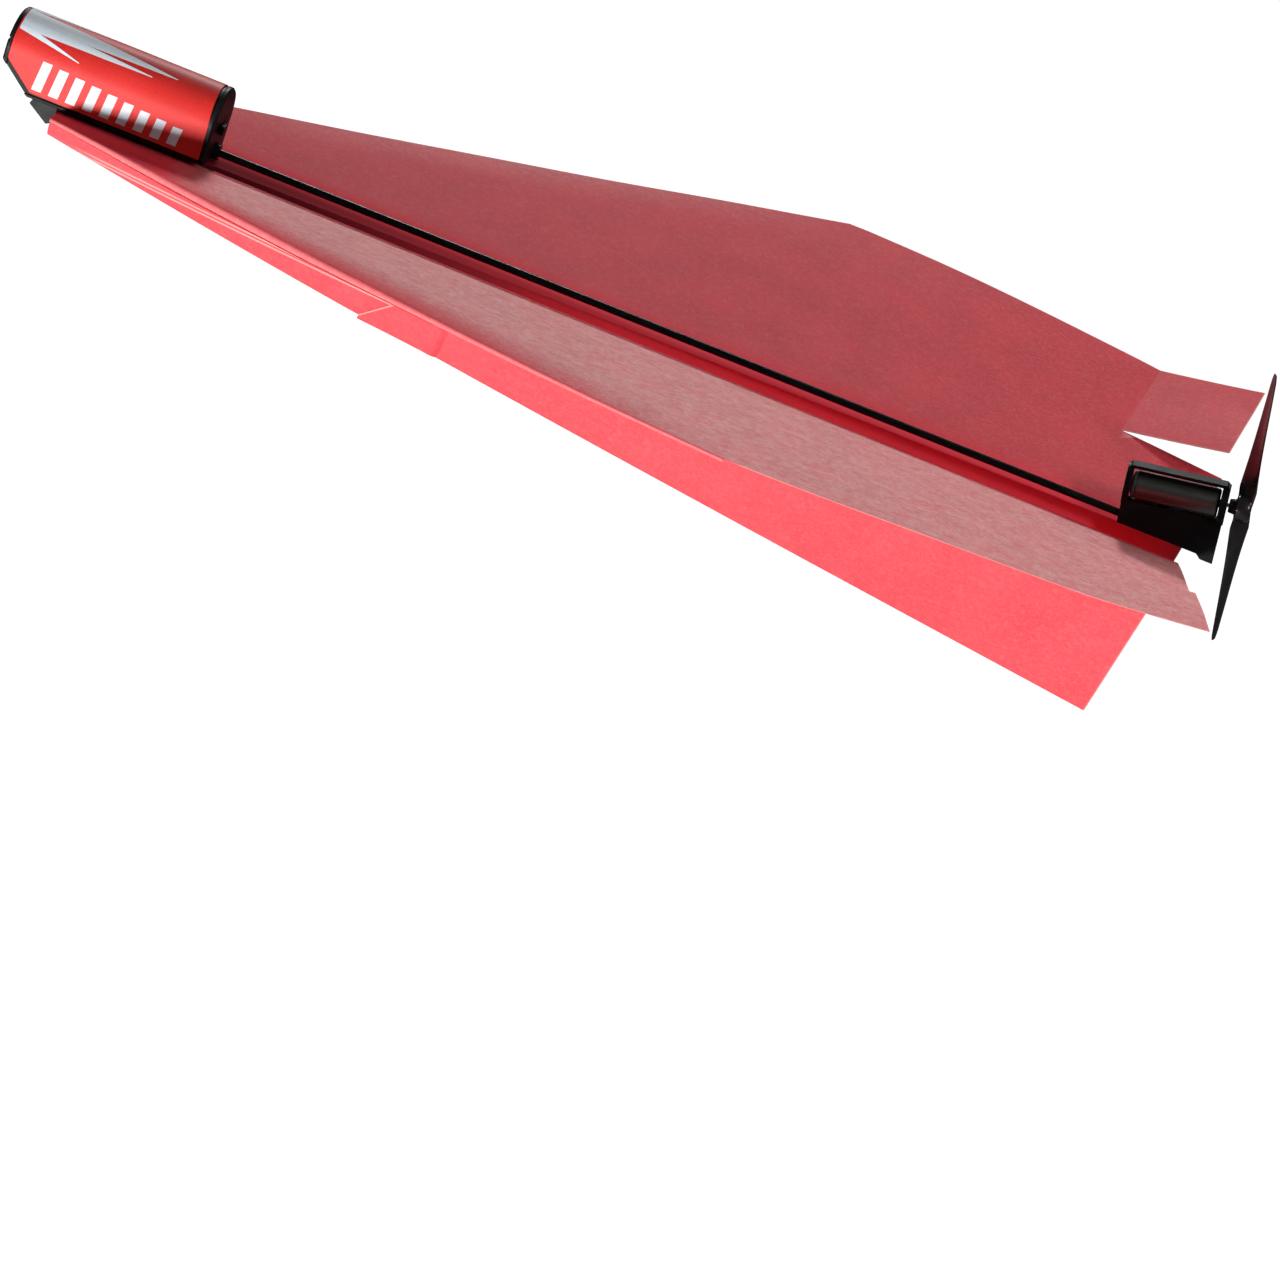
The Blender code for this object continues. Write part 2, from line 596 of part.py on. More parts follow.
# ---------------------------------------------------------------- motor pod and motor
def build_motor_pod(axis):
    """Narrow frame: top rail, two end rings and a wedge that takes the end of the tube."""
    rail_top = 3.7 * MM
    rail_bottom = 3.15 * MM
    wedge_top = -2.75 * MM
    corner = 0.6 * MM
    foot_drop = -1.95 * MM
    wedge_drop = -1.25 * MM
    outline = [(POD_FRONT, rail_top - corner), (POD_FRONT + corner, rail_top),
               (POD_REAR - corner, rail_top), (POD_REAR, rail_top - corner)]
    outline += [line_to_motor(x * MM, drop) for x, drop in
                ((206.8, foot_drop), (204.6, foot_drop), (203.7, wedge_drop),
                 (189.6, wedge_drop))]
    pod = add_object("motor_pod", side_plate(outline, POD_HALF_WIDTH), black_plastic(), axis,
                     smooth=True)
    window = [(POD_FRONT + 0.9 * MM, wedge_top), (POD_REAR - 1.15 * MM, wedge_top),
              (POD_REAR - 1.15 * MM, rail_bottom), (POD_FRONT + 0.9 * MM, rail_bottom)]
    boolean(pod, "DIFFERENCE", "cut_pod_window", side_plate(window, 5.0 * MM), axis)
    boolean(pod, "UNION", "add_pod_front_ring",
            rod(POD_FRONT - CLEARANCE, POD_FRONT + 0.95 * MM, POD_RING_RADIUS), axis)
    boolean(pod, "UNION", "add_pod_rear_ring",
            rod(POD_REAR - 1.2 * MM, POD_REAR + CLEARANCE, POD_RING_RADIUS), axis)
    boolean(pod, "DIFFERENCE", "cut_pod_shaft_hole",
            rod(POD_REAR - 2.0 * MM, POD_REAR + 1.0 * MM, 1.0 * MM), axis)
    boolean(pod, "DIFFERENCE", "cut_pod_wire_channel",
            block((POD_FRONT + 1.0 * MM, -11.9 * MM), around(0.0, WIRE_SLOT_HALF),
                  (wedge_top - 0.4 * MM, wedge_top + 0.75 * MM)), axis)

    line = bpy.data.objects["tube_line"]
    boolean(pod, "DIFFERENCE", "cut_pod_tube_bore",
            rod(185.0 * MM, TUBE_REAR + CLEARANCE, TUBE_RADIUS + CLEARANCE, 24), line)
    rise = motor_to_line(-12.2 * MM, wedge_top)
    shaft = [(TUBE_REAR - 0.2 * MM, -0.35 * MM), (TUBE_REAR + 1.6 * MM, -0.35 * MM),
             (rise[0] + 0.9 * MM, rise[1] + 0.5 * MM), (rise[0] - 0.9 * MM, rise[1] + 0.5 * MM)]
    boolean(pod, "DIFFERENCE", "cut_pod_wire_shaft", side_plate(shaft, WIRE_SLOT_HALF), line)


def build_motor_case(axis):
    """Drawn can and the plastic cap that closes its front end."""
    steel = finish_material("motor_steel", (0.10, 0.10, 0.11), 0.22, 1.0)
    inside = CAN_RADIUS - CAN_WALL
    mouth = BUSH_RADIUS + 0.08 * MM
    corner = 0.3 * MM
    can = [(CAN_FRONT, inside), (CAN_FRONT, CAN_RADIUS), (CAN_REAR - corner, CAN_RADIUS),
           (CAN_REAR, CAN_RADIUS - corner), (CAN_REAR, mouth),
           (CAN_REAR - 0.4 * MM, mouth), (CAN_REAR - 0.4 * MM, inside)]
    add_object("motor_can", turned(can), steel, axis, smooth=True)

    cap_plastic = finish_material("end_cap_plastic", (0.6, 0.6, 0.58), 0.5)
    seat = CAN_FRONT - CLEARANCE
    spigot = inside - CLEARANCE
    bush_seat = BUSH_RADIUS + CLEARANCE
    cap = [(seat - 0.8 * MM, 0.0), (seat - 0.8 * MM, 1.5 * MM), (seat - 0.55 * MM, 2.3 * MM),
           (seat, 2.3 * MM), (seat, spigot), (CAN_FRONT + 0.5 * MM, spigot),
           (CAN_FRONT + 0.5 * MM, bush_seat), (CAN_FRONT - 0.2 * MM, bush_seat),
           (CAN_FRONT - 0.2 * MM, 0.0)]
    add_object("motor_end_cap", turned(cap), cap_plastic, axis, smooth=True)


def build_motor_works(axis):
    """Coreless motor inside the case: bushes, magnet, brushes, and the coil that turns."""
    bronze = finish_material("bronze", (0.55, 0.36, 0.14), 0.35, 1.0)
    bore = SHAFT_RADIUS + CLEARANCE
    add_object("front_bush",
               ring(CAN_FRONT - 0.1 * MM, CAN_FRONT + 0.6 * MM, bore, BUSH_RADIUS), bronze, axis,
               smooth=True)
    add_object("rear_bush",
               ring(CAN_REAR - 1.1 * MM, CAN_REAR + 1.0 * MM, bore, BUSH_RADIUS + 0.02 * MM),
               bronze, axis, smooth=True)

    nickel = finish_material("nickel", (0.6, 0.58, 0.54), 0.3, 1.0)
    add_object("motor_magnet",
               ring(COIL_FRONT + 1.0 * MM, COIL_REAR + 0.1 * MM, MAGNET_BORE, MAGNET_RADIUS),
               nickel, axis, smooth=True)

    copper = finish_material("copper", (0.72, 0.32, 0.16), 0.35, 1.0)
    coil_inside = COIL_RADIUS - COIL_WALL
    plate_rear = COIL_FRONT + 0.6 * MM
    coil = [(COIL_FRONT, bore), (COIL_FRONT, COIL_RADIUS), (COIL_REAR, COIL_RADIUS),
            (COIL_REAR, coil_inside), (plate_rear, coil_inside), (plate_rear, bore)]
    add_object("rotor_coil", turned(coil), copper, axis, smooth=True)
    drum_rear = COIL_FRONT - 0.1 * MM
    drum_radius = 0.62 * MM
    add_object("commutator", ring(drum_rear - 1.0 * MM, drum_rear, bore, drum_radius), copper,
               axis, smooth=True)
    brush_height = 0.75 * MM
    brush_gap = 0.13 * MM
    for name, low in (("brush_lower", -drum_radius - brush_gap - brush_height),
                      ("brush_upper", drum_radius + brush_gap)):
        add_object(name, block(around(drum_rear - 0.5 * MM, 0.3 * MM), around(0.0, 0.3 * MM),
                               (low, low + brush_height)), copper, axis)
    add_object("motor_shaft", rod(CAN_FRONT + 0.1 * MM, 1.2 * MM, SHAFT_RADIUS, 16), nickel, axis,
               smooth=True)


def blade_section(radius, sign):
    """Lens-shaped section of a blade at one radius; the chord follows the pitch helix."""
    share = radius / PROP_RADIUS
    chord = (3.0 + 6.6 * share * (1.0 - share) ** 0.75) * MM
    if share > 0.93:
        chord *= math.sqrt(max(1.0 - ((share - 0.93) / 0.09) ** 2, 0.05))
    thickness = (0.85 - 0.5 * share) * MM
    pitch_angle = math.atan(PROP_PITCH / (2.0 * math.pi * max(radius, 3.5 * MM)))
    points = []
    count = 6
    for step in range(2 * count):
        across = math.cos(math.pi * step / count) / 2.0
        upper = 1.0 if step < count else -1.0
        bulge = thickness * 0.5 * math.sqrt(max(1.0 - (2.0 * across) ** 2, 0.0)) * upper
        camber = 0.06 * chord * (1.0 - (2.0 * across) ** 2)
        along = across * chord
        lift = bulge + camber
        aft = along * math.sin(pitch_angle) + lift * math.cos(pitch_angle)
        sideways = along * math.cos(pitch_angle) - lift * math.sin(pitch_angle)
        points.append((0.6 * MM + aft, -sign * sideways, sign * radius))
    return points


def build_propeller(axis):
    """Hub with two twisted blades, and a collar that faces the pod."""
    hub = [(-1.9 * MM, 0.0), (-1.9 * MM, 1.15 * MM), (-0.85 * MM, 1.3 * MM),
           (-0.75 * MM, HUB_RADIUS), (HUB_REAR - 0.36 * MM, HUB_RADIUS),
           (HUB_REAR, HUB_RADIUS - 0.4 * MM), (HUB_REAR, 0.0)]
    black = finish_material("propeller_plastic", (0.02, 0.015, 0.015), 0.25)
    propeller = add_object("propeller", turned(hub), black, axis, smooth=True)
    stations = [1.2, 3.2, 6.0, 9.0, 12.0, 15.0, 18.0, 20.5, 22.3, 23.3, 23.85]
    for name, sign in (("add_upper_blade", 1.0), ("add_lower_blade", -1.0)):
        blade = loft([blade_section(radius * MM, sign) for radius in stations])
        boolean(propeller, "UNION", name, blade, axis)
    boolean(propeller, "DIFFERENCE", "cut_propeller_bore",
            rod(-3.0 * MM, 1.3 * MM, SHAFT_RADIUS + CLEARANCE, 16), axis)


def main():
    clear_scene()
    nose_point = add_empty("nose_point", location=(-PAPER_LENGTH / 2.0, 0.0, 0.0))
    for side in SIDES:
        build_sheet_side(side, nose_point)

    line = add_empty("tube_line", nose_point, (0.0, 0.0, TUBE_HEIGHT),
                     Matrix.Rotation(-TUBE_TILT, 3, "Y"))
    build_nose_shell(line)
    build_nose_label(line)
    build_nose_base(line)
    build_nose_clip(nose_point)
    build_supercapacitor(line)
    build_board(line)
    build_switch(line)
    build_charging_socket(line)
    build_status_led(line)
    build_tube(line)
    build_wire("wire_negative", -WIRE_OFFSET, (0.02, 0.02, 0.02), line)
    build_wire("wire_positive", WIRE_OFFSET, (0.6, 0.02, 0.02), line)

    axis = add_empty("motor_axis", nose_point, PROP_CENTRE,
                     Matrix.Rotation(-MOTOR_TILT, 3, "Y"))
    build_motor_pod(axis)
    build_motor_case(axis)
    build_motor_works(axis)
    build_propeller(axis)


main()
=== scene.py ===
"""Looks for the powered paper aeroplane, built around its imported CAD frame.

The frame is the part's own: origin in the middle of the keel's bottom crease, +X aft, +Y starboard,
+Z up, in metres. Paper panels, the printed label and the propeller are modelled here; every other
node is the CAD's own mesh with softened edges and a procedural material.
"""
import json
import math

import bmesh
import bpy
from mathutils import Matrix, Vector, noise


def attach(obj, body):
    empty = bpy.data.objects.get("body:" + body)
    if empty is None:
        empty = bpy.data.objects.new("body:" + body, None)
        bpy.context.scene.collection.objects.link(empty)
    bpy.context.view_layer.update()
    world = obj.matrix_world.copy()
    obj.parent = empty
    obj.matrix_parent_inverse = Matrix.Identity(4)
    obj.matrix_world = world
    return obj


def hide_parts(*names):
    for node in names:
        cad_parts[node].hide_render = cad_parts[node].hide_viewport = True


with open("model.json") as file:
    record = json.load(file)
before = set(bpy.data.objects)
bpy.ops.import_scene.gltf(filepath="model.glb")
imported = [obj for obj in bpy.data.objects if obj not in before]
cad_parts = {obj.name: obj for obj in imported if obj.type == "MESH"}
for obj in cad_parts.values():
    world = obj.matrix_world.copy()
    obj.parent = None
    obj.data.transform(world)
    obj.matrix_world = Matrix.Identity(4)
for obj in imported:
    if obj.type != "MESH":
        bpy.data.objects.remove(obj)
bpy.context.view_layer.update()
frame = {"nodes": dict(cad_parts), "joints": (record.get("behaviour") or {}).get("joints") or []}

MM = 0.001
TINY = 1e-9
SIDES = {"port": -1.0, "starboard": 1.0}
JOINTS = {joint["name"]: joint for joint in frame["joints"]}

# ---------------------------------------------------------------- the folded sheet, as in the CAD
PAPER_LENGTH = 200.0 * MM
HALF_SHEET = 81.5 * MM              # bottom crease to wing tip, flattened
NOSE_HALF_WIDTH = 17.0 * MM
CORNER_FROM_NOSE = 120.0 * MM
KEEL_NOSE_HEIGHT = 5.5 * MM
KEEL_TAIL_HEIGHT = 33.3 * MM
KEEL_HALF_ANGLE = math.radians(6.5)
DIHEDRAL = math.radians(10.7)
ELEVON_CHORD = 19.0 * MM
ELEVON_INNER = 58.0 * MM
ELEVON_TRIM = {"port": math.radians(3.3), "starboard": math.radians(14.2)}
ELEVON_LIFT = 0.175 * MM            # elevon crease above the wing crease plane
LIFT_REACH = 6.0 * MM               # the wing rises by as much over this distance from its crease
NOSE_POINT = Vector(JOINTS["keel_open_port"]["pos_m"])
CREASE_ANGLE = math.atan2(KEEL_TAIL_HEIGHT - KEEL_NOSE_HEIGHT, PAPER_LENGTH)
HINGE_X = PAPER_LENGTH - ELEVON_CHORD

# ---------------------------------------------------------------- the sheet's soft shape
SHEET = 0.13 * MM                   # paper thickness
LAYER_STEP = 0.15 * MM              # from one layer to the next
FOLD_RADIUS = 0.25 * MM             # roll of the leading edge at the wing's corner
FOLD_SWELL = 0.36 * MM              # and how much more it is where most layers meet
FOLD_WIDEST = 34.0 * MM
FOLD_HEAD_START = 0.25              # how far into its rise the swelling is at the nose
FOLD_HASTE = 1.15                   # above 1, the swelling is gone before the wing's corner
FOLD_STEPS = 8
EDGE_WEAR = 0.22 * MM               # width of the paler strip along a free edge
SIDE_BOW = 1.3 * MM                 # outward bow of the cut side edge
KEEL_BOW = 1.2 * MM                 # downward bow of the keel's bottom
KEEL_BOW_AT = 62.0 * MM
WALL_GAP = 0.075 * MM               # half the gap between the two walls along their bottom
NOSE_BULGE = 0.55 * MM              # the folded nose stands out a little below the wings
NOSE_LEAN = 0.35 * MM
NOSE_REACH = 6.0 * MM
CROWN = 0.35 * MM                   # gentle arch of each wing between its crease and its edge
CROWN_START = 45.0 * MM             # the arch fades out towards the nose, to clear the module
CROWN_END = 0.80 * HINGE_X          # from here it fades again, to end before the elevon's hinge
CROWN_FADE = 0.19 * HINGE_X
DROOP = {"port": 1.15 * MM, "starboard": 0.45 * MM}   # how far the leading edge curls down
DROOP_REACH = 9.0 * MM
DROOP_LEAN = 1.35                   # above 1, the droop is deepest in the rear half of the edge
RIPPLE = 0.22 * MM
RIPPLE_LENGTH = (34.0 * MM, 26.0 * MM)   # along and across the wing
WALL_RIPPLE = 0.6 * RIPPLE
WALL_RIPPLE_LENGTH = 40.0 * MM
WING_NOISE = 3.7                    # where each kind of panel takes its noise from
WALL_NOISE = 9.1
VALLEY_SHADE_REACH = {"port": 2.0 * MM, "starboard": 9.0 * MM}   # painted shade: deeper red beside the wing crease
VALLEY_SHADE_FADES = (20.0 * MM, 110.0 * MM)   # the painted valley shade gets lighter from the first to the second
VALLEY_SHADE_AFT = 0.45                 # its depth of painted shade from there on aft
VALLEY_SHADE_NOSE = 0.5                   # and how much more painted shade there is at the nose
# Painted shade, port side only: the module's shadow on the wing beside it, and a darker strip where
# the leading edge curls down.
MODULE_SHADE = {"port": 0.55, "starboard": 0.0}
MODULE_SHADE_ENDS = (16.0 * MM, 34.0 * MM)
EDGE_SHADE = {"port": 0.30, "starboard": 0.0}
EDGE_SHADE_ENDS = (45.0 * MM, 115.0 * MM)
EDGE_SHADE_WIDTH = 6.0 * MM
FLAP_FRONT = 6.0 * MM               # where the folded-in flap's edge leaves the keel's bottom
FLAP_CORNER = (73.0 * MM, 5.0 * MM)  # its inner corner, under the lock tongue
FLAP_OFFSET = 0.004                 # share of its width at which the flap leaves the roll
FLAP_RELAX = 0.22                   # share of its width by which the flap lies flat
LAYER_INSET = 0.015                 # the same for the layer between flap and skin
LAYER_RELAX = 0.2
FLAP_STEP = 0.65 * MM               # the outer layer's lower edge is this far above the inner one's
FLAP_SETBACK = 1.2                  # and its rear edge this many steps further forward
FLAP_FOOT = 0.12 * MM               # each layer's lowest height above the bottom crease
CREASE_MARGIN = 1.3 * MM            # the extra layers stop this far from a crease
FOLD_PALENESS = 0.22
EDGE_PALENESS = 0.8
CUT_PALENESS = 0.7
EDGE_LIFT = 0.12 * MM
EDGE_LIFT_SHARE = 0.3               # share of a layer's height over which its edge lifts
RIM_MARGIN = 3.0 * MM               # the wing's last rows lie this close to its outer edge
ELEVON_CURL = 0.35 * MM
ELEVON_WAVE = 0.12 * MM
SLIT_GAP = 0.1 * MM                 # half the slit between the elevon and the wing beside it
SLIT_EDGE = ELEVON_INNER - SLIT_GAP
HINGE_ROOT = KEEL_TAIL_HEIGHT - ELEVON_CHORD * math.tan(CREASE_ANGLE)
SLIT_SHARE = (SLIT_EDGE - HINGE_ROOT) / (HALF_SHEET - RIM_MARGIN - HINGE_ROOT)
SLIT_ROW = 12
SKIN_SHARES = [SLIT_SHARE * (step / SLIT_ROW) ** 1.3 for step in range(SLIT_ROW)]
SKIN_SHARES += [SLIT_SHARE + (1.0 - SLIT_SHARE) * step / 9 for step in range(10)]
RIM_ROWS = 3
FLAP_SHARES = [0.0, 0.02, 0.06, 0.12, 0.2] + [0.3 + 0.1 * step for step in range(8)]
TONGUE_START = 60.0 * MM
TONGUE_LENGTH = 14.0 * MM
TONGUE_DROP = 0.5 * MM              # its corner peeps out below the keel
TONGUE_CURL = 0.18 * MM
TONGUE_TUCK = {1.02: 0.85, 1.05: 0.45, 1.08: 0.10}   # how it closes onto the wall behind its fold

TUBE_HEIGHT = 8.5 * MM
TUBE_TILT = math.atan(math.tan(CREASE_ANGLE) * math.cos(KEEL_HALF_ANGLE))
NOSE_FRONT = -11.2 * MM
NOSE_REAR = 26.4 * MM
NOSE_RADIUS = 5.8 * MM
ARCH_CENTRE = 5.6 * MM
LABEL_FRONT = NOSE_FRONT + 1.0 * MM
LABEL_REAR = NOSE_REAR - 1.0 * MM
LABEL_REAR_SWEEP = 0.6 * MM         # the label's rear edge is this much further forward on top
LABEL_FOOT = -0.25 * MM
CHIN_TOP = Vector((NOSE_FRONT, 3.7 * MM))
CHIN_BOTTOM = Vector((-5.3 * MM, -1.35 * MM))
CHIN_RIM = 1.0 * MM
LABEL_THICKNESS = 0.2 * MM
LABEL_SKIN = NOSE_RADIUS + 0.06 * MM
INK_THICKNESS = 0.016 * MM
INK_STEP = 0.012 * MM               # from one level of ink to the next
BAR_COUNT = 9                       # slanted bars printed along the label; sizes in millimetres
BAR_START = -5.0
BAR_PITCH = 3.05
BAR_WIDTH = 1.7
BAR_LEAN = 0.14
BAR_FOOT = -5.15
BAR_FRONT_HEIGHT = 5.4
BAR_DROP = 0.27
# Tapered streaks: where each ends, its lower and upper height in front, and its tip's height.
STREAKS = [(17.8, 5.5, 9.11, 5.85), (13.7, 4.25, 6.4, 4.5), (1.5, 4.0, 5.0, 2.1)]
PROP_RADIUS = 23.85 * MM
PROP_PITCH = 27.0 * MM              # how far the blade's chord would travel in one turn
BLADE_ROOT = 1.0 * MM
BLADE_ROOT_CHORD = 3.0 * MM
BLADE_SWELL = 6.6 * MM
TIP_ROUNDING = 0.93                 # share of the radius where the tip starts to close
TIP_RADII = [22.6 * MM, 23.1 * MM, 23.45 * MM, 23.7 * MM, PROP_RADIUS]
# Hub outline from the collar's front to the spinner's rear: (x, radius) in millimetres.
HUB = [(-1.2, 0.0), (-1.9, 0.36), (-1.9, 1.02), (-1.78, 1.15), (-0.95, 1.3), (-0.82, 1.36),
       (-0.76, 1.9), (-0.7, 2.1), (-0.5, 2.2), (1.3, 2.2), (1.55, 2.12), (1.78, 1.92), (1.86, 1.7),
       (1.86, 0.9), (1.72, 0.78), (1.72, 0.0)]

# ---------------------------------------------------------------- colours of the paper
WING_RED = (0.78, 0.048, 0.072)
# Painted light: the keel is the same sheet as the wings, given a lighter red to look brightly lit.
KEEL_LIT_RED = (0.95, 0.100, 0.125)
WING_GLOW = 0.10                    # share of the light that passes on into the sheet
KEEL_GLOW = 0.36
PAPER_FIBRE = (0.90, 0.42, 0.40)
# Pale nap colour; mixed in at grazing angles it is a painted sheen.
PAPER_NAP_SHEEN = (0.92, 0.74, 0.70)
PAPER_EDGE = (1.0, 0.50, 0.46)
# Painted shade colours for the fold valley, the module's shadow and the curled edge: a deeper red,
# then near black.
WING_VALLEY_SHADE_RED = (0.92, 0.045, 0.075)
KEEL_VALLEY_SHADE_RED = (1.0, 0.13, 0.20)
VALLEY_SHADE_DARK = (0.05, 0.002, 0.005)

# ---------------------------------------------------------------- the studio, in metres
FLOOR_DEPTH = -0.60
FLOOR_REACH = 6.0
FLOOR_SHADE = 0.5
WORLD_LIGHT = 0.05
CAMERA_PLACE = Vector((0.02254, -0.68043, 0.30067))
CAMERA_HEADING = math.radians(0.51)
CAMERA_DROP = math.radians(25.84)
CAMERA_ROLL = math.radians(29.29)
FOCAL_LENGTH = 123.6


# ---------------------------------------------------------------- node helpers
class Surface:
    """A material under construction: a Principled shader plus short ways to feed it."""

    def __init__(self, name, colour, roughness, metallic=0.0):
        self.material = bpy.data.materials.new("look_" + name)
        self.material.use_nodes = True
        self.nodes = self.material.node_tree.nodes
        self.links = self.material.node_tree.links
        self.shader = self.nodes["Principled BSDF"]
        self.output = self.nodes["Material Output"]
        self.set("Base Color", (*colour, 1.0))
        self.set("Roughness", roughness)
        self.set("Metallic", metallic)

    def set(self, socket, value):
        self.shader.inputs[socket].default_value = value

    def feed(self, socket, output):
        self.links.new(output, self.shader.inputs[socket])

    def coordinates(self, stretch=(1.0, 1.0, 1.0)):
        source = self.nodes.new("ShaderNodeTexCoord")
        mapping = self.nodes.new("ShaderNodeMapping")
        mapping.inputs["Scale"].default_value = stretch
        self.links.new(source.outputs["Object"], mapping.inputs["Vector"])
        return mapping.outputs["Vector"]

    def grain(self, size, stretch=(1.0, 1.0, 1.0), detail=4.0, distortion=0.0):
        """Noise whose features are about this size, in metres."""
        texture = self.nodes.new("ShaderNodeTexNoise")
        texture.inputs["Scale"].default_value = 1.0 / size
        texture.inputs["Detail"].default_value = detail
        texture.inputs["Distortion"].default_value = distortion
        self.links.new(self.coordinates(stretch), texture.inputs["Vector"])
        return texture.outputs["Fac"]

    def ramp(self, value, stops):
        """Colour ramp: stops are (position, grey value or colour)."""
        node = self.nodes.new("ShaderNodeValToRGB")
        elements = node.color_ramp.elements
        while len(elements) < len(stops):
            elements.new(0.5)
        for element, (position, shade) in zip(elements, stops):
            element.position = position
            colour = (shade,) * 3 if isinstance(shade, float) else shade
            element.color = (*colour, 1.0)
        self.links.new(value, node.inputs["Fac"])
        return node.outputs["Color"]

    def mix(self, share, first, second):
        """Mix two colours; each may be a tuple or a socket, and share a number or a socket."""
        node = self.nodes.new("ShaderNodeMix")
        node.data_type = "RGBA"
        for index, value in ((0, share), (6, first), (7, second)):
            if isinstance(value, bpy.types.NodeSocket):
                self.links.new(value, node.inputs[index])
            elif isinstance(value, tuple):
                node.inputs[index].default_value = (*value, 1.0)
            else:
                node.inputs[index].default_value = value
        return node.outputs[2]

    def math(self, operation, first, second):
        """Arithmetic on two values, each a number or a socket."""
        node = self.nodes.new("ShaderNodeMath")
        node.operation = operation
        for index, value in enumerate((first, second)):
            if isinstance(value, bpy.types.NodeSocket):
                self.links.new(value, node.inputs[index])
            else:
                node.inputs[index].default_value = value
        return node.outputs[0]

    def attribute(self, name):
        """Value kept with the mesh under this name."""
        node = self.nodes.new("ShaderNodeAttribute")
        node.attribute_name = name
        return node.outputs["Fac"]

    def bump(self, height, strength, distance):
        node = self.nodes.new("ShaderNodeBump")
        node.inputs["Strength"].default_value = strength
        node.inputs["Distance"].default_value = distance
        self.links.new(height, node.inputs["Height"])
        self.feed("Normal", node.outputs["Normal"])
        return node.outputs["Normal"]


# ---------------------------------------------------------------- materials
def paper_look(name, red, valley_shade_red, glow_share):
    """Uncoated red paper: cloudy pulp, fine pale fibres, a pale sheen painted into the colour at
    grazing angles, pale edges.

    The mesh says how much painted shade each point takes, in the fold valley, beside the module and
    along the curled edge; there it takes valley_shade_red and then a near-black painted shade.
    """
    look = Surface(name, red, 0.72)
    cloud = look.ramp(look.grain(9.0 * MM, detail=3.0), [(0.3, 0.0), (0.72, 1.0)])
    darker = tuple(0.86 * channel for channel in red)
    body = look.mix(cloud, darker, red)
    flecks = look.grain(0.75 * MM, (0.75, 1.0, 1.0), 6.0, 1.2)
    body = look.mix(look.ramp(flecks, [(0.45, 0.0), (0.78, 0.16)]), body, PAPER_FIBRE)
    threads = look.grain(1.6 * MM, (0.6, 1.0, 1.0), 2.0, 2.6)
    ridge = look.ramp(threads, [(0.48, 0.0), (0.5, 0.14), (0.52, 0.0)])
    body = look.mix(ridge, body, PAPER_FIBRE)
    # Painted sheen: a pale fibre sheen mixed into the base colour at grazing angles.
    facing = look.nodes.new("ShaderNodeLayerWeight")
    facing.inputs["Blend"].default_value = 0.5
    grazing = look.ramp(facing.outputs["Facing"], [(0.50, 0.0), (0.78, 0.6)])
    clumps = look.grain(2.2 * MM, (0.7, 1.0, 1.0), 5.0, 0.8)
    nap_sheen = look.math("MULTIPLY", look.ramp(flecks, [(0.30, 0.45), (0.70, 1.0)]),
                    look.ramp(clumps, [(0.30, 0.6), (0.66, 1.0)]))
    body = look.mix(look.math("MULTIPLY", nap_sheen, grazing), body, PAPER_NAP_SHEEN)
    # Painted shade: where the mesh's deep value says so, a deeper red, then near black, and less
    # specular.
    valley = look.attribute("deep")
    body = look.mix(look.ramp(valley, [(0.0, 0.0), (0.45, 0.92)]), body, valley_shade_red)
    body = look.mix(look.ramp(valley, [(0.45, 0.0), (1.0, 0.9)]), body, VALLEY_SHADE_DARK)
    body = look.mix(look.attribute("pale"), body, PAPER_EDGE)
    look.feed("Base Color", body)
    look.feed("Specular IOR Level", look.ramp(valley, [(0.0, 0.3), (0.45, 0.03)]))
    normal = look.bump(look.math("ADD", flecks, threads), 0.22, 0.05 * MM)

    glow = look.nodes.new("ShaderNodeBsdfTranslucent")
    look.links.new(body, glow.inputs["Color"])
    look.links.new(normal, glow.inputs["Normal"])
    blend = look.nodes.new("ShaderNodeMixShader")
    blend.inputs["Fac"].default_value = glow_share
    look.links.new(look.shader.outputs["BSDF"], blend.inputs[1])
    look.links.new(glow.outputs["BSDF"], blend.inputs[2])
    look.links.new(blend.outputs["Shader"], look.output.inputs["Surface"])
    return look.material


def plastic_look(name, colour, roughness, texture=0.10, level=0.3):
    """Moulded plastic: fine mould texture and uneven polish."""
    look = Surface(name, colour, roughness)
    fine = look.grain(0.16 * MM, detail=3.0)
    broad = look.grain(4.0 * MM, detail=3.0)
    low = max(roughness - 0.09, 0.05)
    look.feed("Roughness", look.ramp(broad, [(0.3, low), (0.7, roughness + 0.09)]))
    paler = tuple(1.5 * channel + 0.004 for channel in colour)
    look.feed("Base Color", look.mix(look.ramp(broad, [(0.35, 0.0), (0.8, 0.6)]), colour, paler))
    look.set("Specular IOR Level", level)
    look.bump(fine, texture, 0.02 * MM)
    return look.material


def metal_look(name, colour, roughness, stretch=(1.0, 12.0, 12.0)):
    """Drawn or turned metal with fine directional scratches."""
    look = Surface(name, colour, roughness, 1.0)
    brushed = look.grain(0.5 * MM, stretch, 5.0)
    look.feed("Roughness", look.ramp(brushed, [(0.3, roughness * 0.7), (0.7, roughness * 1.4)]))
    tarnish = look.ramp(look.grain(3.0 * MM, detail=3.0), [(0.35, 0.0), (0.75, 0.5)])
    duller = tuple(0.7 * channel for channel in colour)
    look.feed("Base Color", look.mix(tarnish, colour, duller))
    look.bump(brushed, 0.12, 0.01 * MM)
    return look.material


